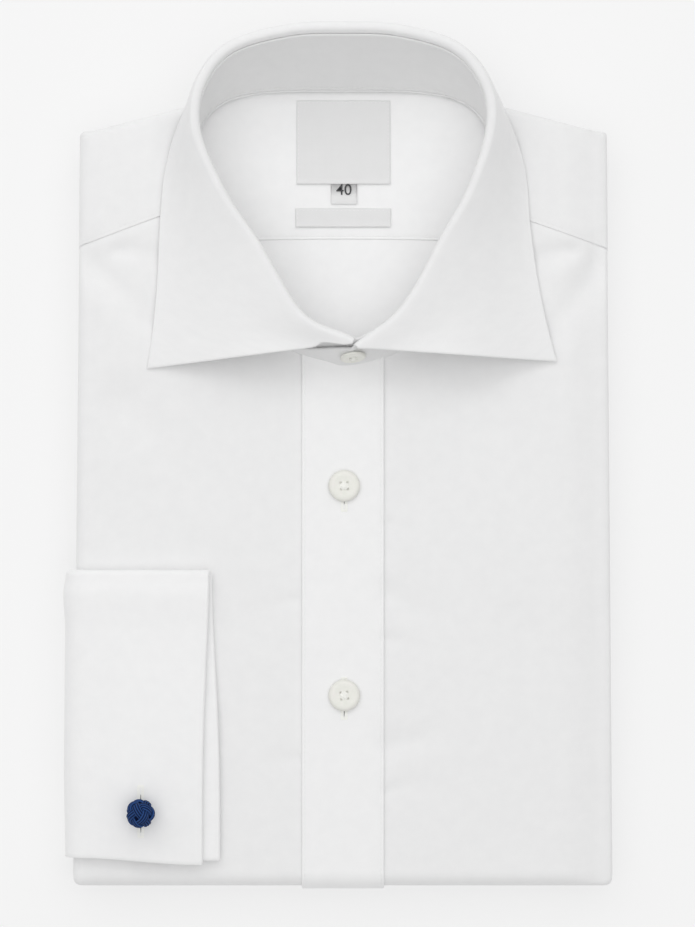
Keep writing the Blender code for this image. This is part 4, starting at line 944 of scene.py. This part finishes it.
# How much the knot below lifts the open end, and how far that reaches each way
CUFF_LIFT = 1.8
LIFT_LEFT, LIFT_RIGHT, LIFT_UP, LIFT_DOWN, LIFT_FLAT = 21.0, 75.0, 74.0, 60.0, 6.0
CUFF_STITCH = 5.0
SIDE_FOOT = 3.0
SIDE_LOW = CUFF_CENTRE + CUFF_INNER_LEAF + 0.5 + SIDE_FOOT
LEAF_RADIUS = (CUFF_OUTER_LEAF - CUFF_INNER_LEAF) / 2


def side_edge(y):
    return mix(LEFT_BOTTOM, LEFT_TOP, (y - HEM_Y) / (SHOULDER_Y - HEM_Y)) + CUFF_SQUEEZE


def over_side(distance, y, offset):
    """Points over the body's left side, at a distance past the start of its roll."""
    quarter, drop = ROLL * math.pi / 2, ROLL_Z - SIDE_LOW
    lean = np.minimum(distance / ROLL, math.pi / 2)
    down = np.clip(distance - quarter, 0.0, drop)
    bend = np.clip((distance - quarter - drop) / SIDE_FOOT, 0.0, math.pi / 2)
    rest = np.maximum(0.0, distance - quarter - drop - SIDE_FOOT * math.pi / 2)
    x = side_edge(y) + ROLL * (1.0 - np.sin(lean)) + SIDE_FOOT * (1.0 - np.cos(bend)) + rest
    z = ROLL_Z + ROLL * np.cos(lean) - down - SIDE_FOOT * np.sin(bend)
    return together(x - np.sin(lean) * np.cos(bend) * offset, y, z + (np.cos(lean) - np.sin(bend)) * offset)


def hill(away):
    return 0.5 + 0.5 * np.cos(math.pi * np.minimum(1.0, np.abs(away)))


def over_top(x, y, offset):
    """Points over the front; the cuff's open end stands up over the knot under it."""
    away = (x - KNOT_X) / np.where(x < KNOT_X, LIFT_LEFT, LIFT_RIGHT)
    up = np.maximum(0.0, y - KNOT_Y - LIFT_FLAT) / LIFT_UP + np.maximum(0.0, KNOT_Y - y) / LIFT_DOWN
    return together(x, y, BODY_TOP + plain_crown(x, y) + CUFF_LIFT * hill(away) * hill(up) + offset)


def flattened(y):
    """How much of its height the cuff keeps beside the link."""
    return 1.0 - 0.18 * smooth((KNOT_Y + 20.0 - y) / 40.0)


def cuff_waves(x, y):
    return 0.22 * np.sin(x / 13.0 + y / 21.0) * np.sin(y / 17.0 + 1.0)


def cuff_edge_x(y, angle):
    """The cuff's open edge, for the outer fold at angle 0 and the inner one at half a turn."""
    share = smooth((y - CUFF_BOTTOM_Y) / (CUFF_TOP_Y - CUFF_BOTTOM_Y)) ** 2
    return mix(mix(*CUFF_EDGE_FRONT, share), mix(*CUFF_EDGE_BACK, share), smooth(angle / math.pi))


turn_y = CUFF_TOP_Y - CUFF_OUTER_LEAF - 0.5
cuff_ys = with_rims(steps_between(CUFF_BOTTOM_Y, turn_y, 1.9))[:-3]
row_y = np.concatenate([cuff_ys, np.full(15, turn_y), cuff_ys[::-1]])[:, None]
angle = np.concatenate([0.0 * cuff_ys, np.linspace(0.0, math.pi, 15), math.pi + 0.0 * cuff_ys])[:, None]
puff = CUFF_PUFF * smooth((row_y - turn_y + CUFF_PUFF_LENGTH) / 17.0) * smooth((turn_y - row_y) / 8.0)
side = np.linspace(CUFF_SIDE_END, 0.9, 11)
side = np.array([CUFF_SIDE_END, CUFF_SIDE_END - 0.06, CUFF_SIDE_END - 0.25, *side[1:]])
turn = np.linspace(0.0, math.pi, 9)
turn_x = cuff_edge_x(row_y, angle) - LEAF_RADIUS - 0.5
top_x = mix(side_edge(row_y) + ROLL, turn_x - 0.8, np.linspace(0.0, 1.0, 46))
top_x = np.concatenate([top_x, turn_x + LEAF_RADIUS * np.sin(turn), top_x[:, ::-1]], axis=1)
plain = np.ones(len(side) + 46)
reach = np.concatenate([CUFF_OUTER_LEAF * plain, CUFF_INNER_LEAF + LEAF_RADIUS * (1.0 + np.cos(turn)),
                        CUFF_INNER_LEAF * plain]) + puff
cuff_y = row_y + reach * np.sin(angle)
offset = flattened(row_y) * (CUFF_CENTRE + puff + reach * np.cos(angle))
first, last = np.s_[:, :len(side)], np.s_[:, -len(side):]
on_top = np.s_[:, len(side):-len(side)]
cuff_middle = np.concatenate([over_side(side, cuff_y[first], offset[first]),
                              over_top(top_x, cuff_y[on_top], offset[on_top]),
                              over_side(side[::-1], cuff_y[last], offset[last])], axis=1)
low_part = smooth((-100.0 - cuff_middle[..., 1]) / 70.0)
upper_half = (np.arange(len(cuff_middle)) < len(cuff_middle) / 2)[:, None]
cuff_middle[..., 1] += 1.2 * smooth((-60.0 - cuff_middle[..., 0]) / 50.0) * low_part
cuff_middle[..., 1] -= 1.7 * upper_half * smooth((cuff_middle[..., 0] + 112.0) / 55.0) * low_part
ripple = cuff_waves(cuff_middle[..., 0], cuff_middle[..., 1])
cuff_middle[..., 2] += ripple * smooth((cuff_middle[..., 2] - 18.0) / 3.0)
# The cuff is drawn in the lighter poplin copy, which is painted light.
cuff = cloth_piece("cuff_cloth", "cuff", cuff_middle,
                   together(running(cuff_middle, 1), running(cuff_middle)), PAINTED_LIGHT_POPLIN, CUFF_THICK)


def on_cuff(x, y):
    """Top face of the upper cuff end."""
    rise = (CUFF_CENTRE + CUFF_OUTER_LEAF) * flattened(y) + CUFF_THICK / 2 + cuff_waves(x, y)
    return over_top(x, y, rise)


edge_ys = np.linspace(CUFF_BOTTOM_Y + CUFF_STITCH, CUFF_TOP_Y - 5.0, 70)
edge_xs = cuff_edge_x(edge_ys, 0.0) - CUFF_STITCH
bottom_xs = np.linspace(-105.0, edge_xs[0], 40)
cuff_trim = [
    buttonhole("cuff_buttonhole", (KNOT_X, KNOT_Y + 0.4), 10.6, -9.2, 7.6, on_cuff),
    thread_row("cuff_stitching_side", on_cuff(edge_xs, edge_ys) - 0.12 * UP),
    thread_row("cuff_stitching_end", on_cuff(bottom_xs, CUFF_BOTTOM_Y + CUFF_STITCH) - 0.12 * UP),
]


# ---------------------------------------------------------------- the sleeve's end
# The cuff is sewn to the sleeve, which goes round the body's left side and under it, two
# plies on each other.

SLEEVE_INNER, SLEEVE_OUTER = 1.6, 4.2
SLEEVE_Y, SLEEVE_HALF_WIDTH = -109.75, 61.45
SLEEVE_END_X = -92.0
PROBE = 60.0

share = np.linspace(0.0, 1.0, 30)[:, None]
place = np.linspace(-1.0, 1.0, 61)
y = SLEEVE_Y + SLEEVE_HALF_WIDTH * place
full = np.sqrt(1.0 - np.clip((np.abs(place) - 0.965) / 0.035, 0.0, 1.0) ** 2)
pleat = 0.25 * np.sin(y / 6.1) * np.exp(-share * 5.0)
offset = (SLEEVE_INNER + SLEEVE_OUTER) / 2 - 0.3 + ((SLEEVE_OUTER - SLEEVE_INNER) / 2 + pleat) * full
sleeve_length = PROBE + SLEEVE_END_X - over_side(PROBE, -110.0, 0.0)[0]
sleeve_middle = over_side(mix(CUFF_SIDE_END + 0.2, sleeve_length, share), y, offset)
sleeve_middle[..., 2] = np.maximum(0.31, sleeve_middle[..., 2])
sleeve = cloth_piece("sleeve_cloth", "sleeve", sleeve_middle,
                     together(45.0 * share, SLEEVE_HALF_WIDTH * place), WHITE_POPLIN)


# ---------------------------------------------------------------- the buttons
# Four-hole shirt buttons of ivory resin with a pearl figure: turned, with a rounded rim
# and a sunk eye, and sewn on with crossed white thread.

HOLE_SPREAD, HOLE_RADIUS, HOLE_FLOOR = 1.42, 0.55, 1.25
SEWING_THREAD = 0.21
# Diameter and height
FRONT_BUTTON, COLLAR_BUTTON = (13.6, 2.1), (11.2, 1.7)
# Outline from the middle of the back to the middle of the eye: shares of radius and height
BUTTON_PROFILE = [(0.0, 0.0), (0.80, 0.0), (0.93, 0.10), (0.985, 0.28), (1.0, 0.46), (0.985, 0.60),
                  (0.95, 0.72), (0.90, 0.83), (0.84, 0.92), (0.77, 0.98), (0.69, 1.0), (0.60, 0.975),
                  (0.50, 0.93), (0.38, 0.90), (0.0, 0.89)]


def pearl(name):
    """Ivory resin with a drifting pearl figure under a polished face, its colour darkened towards the rim
    as painted shade.
    """
    made, tree, shader = material(name, Roughness=0.42, Specular_IOR_Level=0.35)
    place = tree.nodes.new("ShaderNodeTexCoord").outputs
    drift = node(tree, "TexNoise", {"Vector": place["Object"], "Scale": 190.0, "Detail": 2.0,
                                    "Distortion": 1.6})
    tints = node(tree, "ValToRGB", {"Fac": drift})
    ramp = tints.node.color_ramp.elements
    ramp[0].position, ramp[0].color = 0.30, (0.84, 0.845, 0.785, 1.0)
    ramp[1].position, ramp[1].color = 0.68, (0.88, 0.86, 0.82, 1.0)
    ramp.new(0.5).color = (0.865, 0.865, 0.81, 1.0)
    # Painted shade: the colour is scaled darker towards the rim, where the face turns away from the light.
    centred = node(tree, "Mapping", {"Vector": place["Generated"], "Location": (-1.0, -1.0, 0.0),
                                     "Scale": (2.0, 2.0, 0.0)})
    node(tree, "VectorMath", {0: centred}, operation="LENGTH")
    reach = tree.nodes[-1].outputs["Value"]
    rim = node(tree, "MapRange", {"Value": reach, "From Min": 0.80, "From Max": 0.95, "To Min": 1.0,
                                  "To Max": 0.92})
    painted_rim_shade = node(tree, "VectorMath", {0: tints}, operation="SCALE")
    give(tree, painted_rim_shade.node, {"Scale": rim})
    give(tree, shader, {"Base Color": painted_rim_shade})
    return made


PEARL = pearl("ivory_pearl")


def turned(name, profile, count, finish):
    """A turned body from (radius, height) pairs whose first and last lie on the axis."""
    angle = full_turn(count)
    rings = [together(radius * np.cos(angle), radius * np.sin(angle), height)
             for radius, height in profile[1:-1]]
    points = np.vstack([(0.0, 0.0, profile[0][1]), *rings, (0.0, 0.0, profile[-1][1])])
    number = numbered(len(rings), count, start=1)
    faces = []
    for now, after in zip(number.T.tolist(), np.roll(number, -1, axis=1).T.tolist()):
        faces += [(0, after[0], now[0]), (now[-1], after[-1], len(points) - 1),
                  *zip(now, after, after[1:], now[1:])]
    return shape(name, points, faces, finish)


def drilled(body, holes):
    """The body with its thread holes, open down to a thin floor."""
    pins = []
    for x, y in holes:
        profile = [(0.0, HOLE_FLOOR), (HOLE_RADIUS, HOLE_FLOOR), (HOLE_RADIUS, 6.0), (0.0, 6.0)]
        pins.append(turned("pin", profile, 20, PEARL))
        pins[-1].location = (x * MM, y * MM, 0.0)
        cut = body.modifiers.new("hole", "BOOLEAN")
        cut.operation, cut.solver, cut.object = "DIFFERENCE", "EXACT", pins[-1]
    cleaned = finished_mesh(body)
    body.modifiers.clear()
    body.data = cleaned
    for pin in pins:
        bpy.data.objects.remove(pin)
    cleaned.shade_smooth()
    cleaned.set_sharp_from_angle(angle=math.radians(40))
    return body


def thread_loops(name, holes, height):
    """Sewing thread over the eye: loops between opposite holes, crossing in the middle."""
    part = np.linspace(0.06, 0.94, 9)[:, None]
    turn = full_turn(6)
    loops = []
    for pair in (0, 1):
        start, end = np.array(holes[pair]), np.array(holes[pair + 2])
        forward = unit(end - start)
        side = np.array((-forward[1], forward[0]))
        z = height + 0.48 * np.sin(math.pi * (part - 0.06) / 0.88) - 0.2 + 0.1 * pair
        for shift in (-0.8, -0.48, -0.16, 0.16, 0.48, 0.8):
            x, y = (mix(start, end, part) + side * shift).T[:, :, None]
            loops.append(together(x + side[0] * np.cos(turn) * SEWING_THREAD,
                                  y + side[1] * np.cos(turn) * SEWING_THREAD,
                                  z + SEWING_THREAD * np.sin(turn)))
    faces = turned_over(quads(numbered(len(loops), 9, 6), closed=True))
    return shape(name, loops, faces, BRIGHT_THREAD)


def shirt_button(solid, diameter, tall, place, turn):
    """One sewn button, standing for its solid."""
    spread = HOLE_SPREAD * diameter / FRONT_BUTTON[0]
    holes = [(spread, spread), (-spread, spread), (-spread, -spread), (spread, -spread)]
    profile = [(share * diameter / 2, height * tall) for share, height in BUTTON_PROFILE]
    body = drilled(turned(solid + "_pearl", profile, 56, PEARL), holes)
    loops = thread_loops(solid + "_thread", holes, tall * 0.90)
    for piece in (body, loops):
        piece.location = Vector(place) * MM
        piece.rotation_euler = turn
    fasten(body, solid)
    fasten(loops)


for number, y in enumerate(BUTTON_YS, start=1):
    z = BODY_TOP + float(plain_crown(BUTTON_X, y)) + 1.4
    shirt_button(f"front_button_{number}", *FRONT_BUTTON, (BUTTON_X, y, z), (0.0, 0.0, 0.06 * number))

band_ends = collar_stations(np.array([0.0, 1 / 3]))
foot, top, rise, _ = standing(band_ends)
along_band = band_ends["base"][1] - foot[0]
facing = unit(np.cross(rise[0], along_band))
facing = facing * (-1.0 if facing[1] > 0 else 1.0)
collar_place = foot[0] + along_band * 0.32 + rise[0] * np.linalg.norm(top[0] - foot[0]) * 0.47
collar_place = collar_place + facing * 1.2 + (-1.7, 0.85, 0.3)
collar_turn = Vector(facing * (1, 1, 0.72)).to_track_quat("Z", "Y").to_euler()
shirt_button("collar_button", *COLLAR_BUTTON, collar_place, collar_turn)


# ---------------------------------------------------------------- the cufflink
# The link is a pair of knots tied from navy silk cord round a small core, joined through
# the buttonholes by a short elastic. Each knot is a woven ball: four leads of flat cord
# that pass over and under each other.

KNOT_RADIUS = 6.5
KNOT_LEADS, KNOT_BIGHTS, BIGHT_LATITUDE = 4, 5, math.radians(62)
CORD_WIDTH, CORD_DEPTH = 3.4, 1.3
CORD_STEPS, CORD_SIDES = 640, 26
# Each knot: height of its centre, and how far it is tipped in degrees
KNOTS = {"silk_knot_under": (15.3, 70.0), "silk_knot_over": (32.4, 112.0)}


def silk(name):
    """Navy silk cord: fine parallel strands with a soft sheen; the colour is darker in the grooves between
    them, which is painted shade.
    """
    made, tree, shader = material(name, Roughness=0.55, Specular_IOR_Level=0.08)
    cut = node(tree, "UVMap", {}, uv_map="cut")
    strands = node(tree, "TexWave", {"Vector": cut, "Scale": 250.0, "Distortion": 0.6},
                   bands_direction="Y").node.outputs["Fac"]
    # Painted shade: the cord is coloured darker in the grooves between its strands, following the same
    # pattern as the bump.
    tone = node(tree, "Mix", {"Factor": strands, "A": (0.0015, 0.006, 0.034, 1.0),
                              "B": (0.029, 0.078, 0.240, 1.0)}, data_type="RGBA")
    bump = node(tree, "Bump", {"Strength": 0.8, "Distance": 0.0003, "Height": strands})
    give(tree, shader, {"Base Color": tone, "Normal": bump})
    return made


NAVY_SILK = silk("navy_silk")


def woven_path(count):
    """Closed path of a woven ball: directions from its centre, and over or under as 1 or -1."""
    turn = full_turn(count)
    longitude, latitude = KNOT_LEADS * turn, BIGHT_LATITUDE * np.sin(KNOT_BIGHTS * turn)
    ways = together(np.cos(latitude) * np.cos(longitude), np.cos(latitude) * np.sin(longitude),
                    np.sin(latitude))
    nearness = ways @ ways.T
    gap = np.abs(np.arange(count)[:, None] - np.arange(count))
    nearness[np.minimum(gap, count - gap) < count // 40] = -1.0
    closest = nearness.max(axis=1)
    crossing = (closest > 0.998) & (closest >= np.roll(closest, 1)) & (closest > np.roll(closest, -1))
    marks = np.flatnonzero(crossing)
    levels = np.where(np.arange(len(marks)) % 2 == 0, 1.0, -1.0)
    marks = np.array([marks[-1] - count, *marks, marks[0] + count])
    height = np.interp(np.arange(count), marks, [levels[-1], *levels, levels[0]])
    return ways, np.sin(height * math.pi / 2)


def silk_knot(solid, centre, tip):
    """One woven ball with its core, standing for its solid."""
    ways, over = woven_path(CORD_STEPS)
    middle_radius = KNOT_RADIUS - CORD_DEPTH - 0.1
    middle = ways * (middle_radius + 0.55 * over)[:, None]
    side = unit(np.cross(ways, unit(np.roll(middle, -1, axis=0) - np.roll(middle, 1, axis=0))))
    angle = full_turn(CORD_SIDES)[:, None]
    wide = np.cos(angle)
    ribs = 0.72 + 0.40 * np.sqrt(np.abs(np.cos(1.5 * np.pi * wide)))
    ring = side[:, None] * wide * CORD_WIDTH / 2 + ways[:, None] * np.sin(angle) * ribs * CORD_DEPTH / 2
    lean = math.radians(tip)
    tilt = np.array([[1, 0, 0], [0, math.cos(lean), -math.sin(lean)],
                     [0, math.sin(lean), math.cos(lean)]])
    number = numbered(CORD_STEPS, CORD_SIDES)
    ball = shape(solid + "_cord", (middle[:, None] + ring) @ tilt.T,
                 quads(np.vstack([number, number[:1]]), closed=True), NAVY_SILK,
                 together(running(middle)[:, None], 2.0 * wide[:, 0]).reshape(-1, 2))
    radius = middle_radius - 0.3
    profile = [(0.0, -radius), *((radius * math.sin(a), -radius * math.cos(a))
                                 for a in np.linspace(0.15, math.pi - 0.15, 15)), (0.0, radius)]
    core = turned(solid + "_core", profile, 28, NAVY_SILK)
    for piece in (ball, core):
        piece.location = Vector(centre) * MM
    fasten(ball, solid)
    fasten(core)


for solid, (z, tip) in KNOTS.items():
    silk_knot(solid, (KNOT_X, KNOT_Y, z), tip)
elastic_profile = [(0.0, 21.5), (1.1, 21.5), (1.0, 23.5), (1.0, 25.5), (1.1, 27.5), (0.0, 27.5)]
elastic = turned("link_elastic_cord", elastic_profile, 20, NAVY_SILK)
elastic.location = (KNOT_X * MM, KNOT_Y * MM, 0.0)
fasten(elastic, "link_elastic")


# ---------------------------------------------------------------- table, light and camera
# The shirt lies on a pale, matt table under a wide overhead screen and a long strip light
# on the collar's side, with an even fill from all round. The camera looks straight down.

CAMERA_HEIGHT = 2.2
SCALE_AT_BODY = 0.43 * MM
PICTURE_ROWS = 927
WHITE = (1.0, 1.0, 1.0, 1.0)

table_top, _, _ = material("table_top", Base_Color=(0.32, 0.32, 0.32, 1.0), Roughness=0.9,
                           Specular_IOR_Level=0.0, Emission_Color=WHITE, Emission_Strength=0.611)
table_mesh = bpy.data.meshes.new("table")
table_mesh.from_pydata([(-3, -3, 0), (3, -3, 0), (3, 3, 0), (-3, 3, 0)], [], [(0, 1, 2, 3)])
table_mesh.materials.append(table_top)
table = placed("table", table_mesh)
table.location.z = -0.3 * MM

scene = bpy.context.scene
world = bpy.data.worlds.new("studio")
scene.world = world
world.use_nodes = True
give(world.node_tree, world.node_tree.nodes["Background"], {"Color": WHITE, "Strength": 0.488})

for name, power, wide, tall, place in (("overhead_screen", 28.9, 4.0, 4.0, (0.0, 0.0, 2.0)),
                                       ("strip_light", 11.4, 5.0, 0.6, (-0.317, 1.184, 1.028))):
    softbox = bpy.data.lights.new(name, "AREA")
    softbox.shape = "RECTANGLE"
    softbox.size, softbox.size_y, softbox.energy = wide, tall, power
    lamp = placed(name, softbox)
    lamp.location = place
    lamp.rotation_euler = (-lamp.location).to_track_quat("-Z", "Y").to_euler()

scene.view_settings.view_transform = "Standard"
scene.view_settings.look = "None"
scene.view_settings.exposure = 0.0
scene.view_settings.gamma = 1.0

view = bpy.data.cameras.new("camera")
view.sensor_fit = "VERTICAL"
view.sensor_height = 36.0
view.lens = view.sensor_height * (CAMERA_HEIGHT - BODY_TOP * MM) / (PICTURE_ROWS * SCALE_AT_BODY)
view.clip_end = 20.0
camera = placed("camera", view)
camera.location = (4.0 * MM, -1.4 * MM, CAMERA_HEIGHT)
scene.camera = camera

bpy.context.view_layer.update()
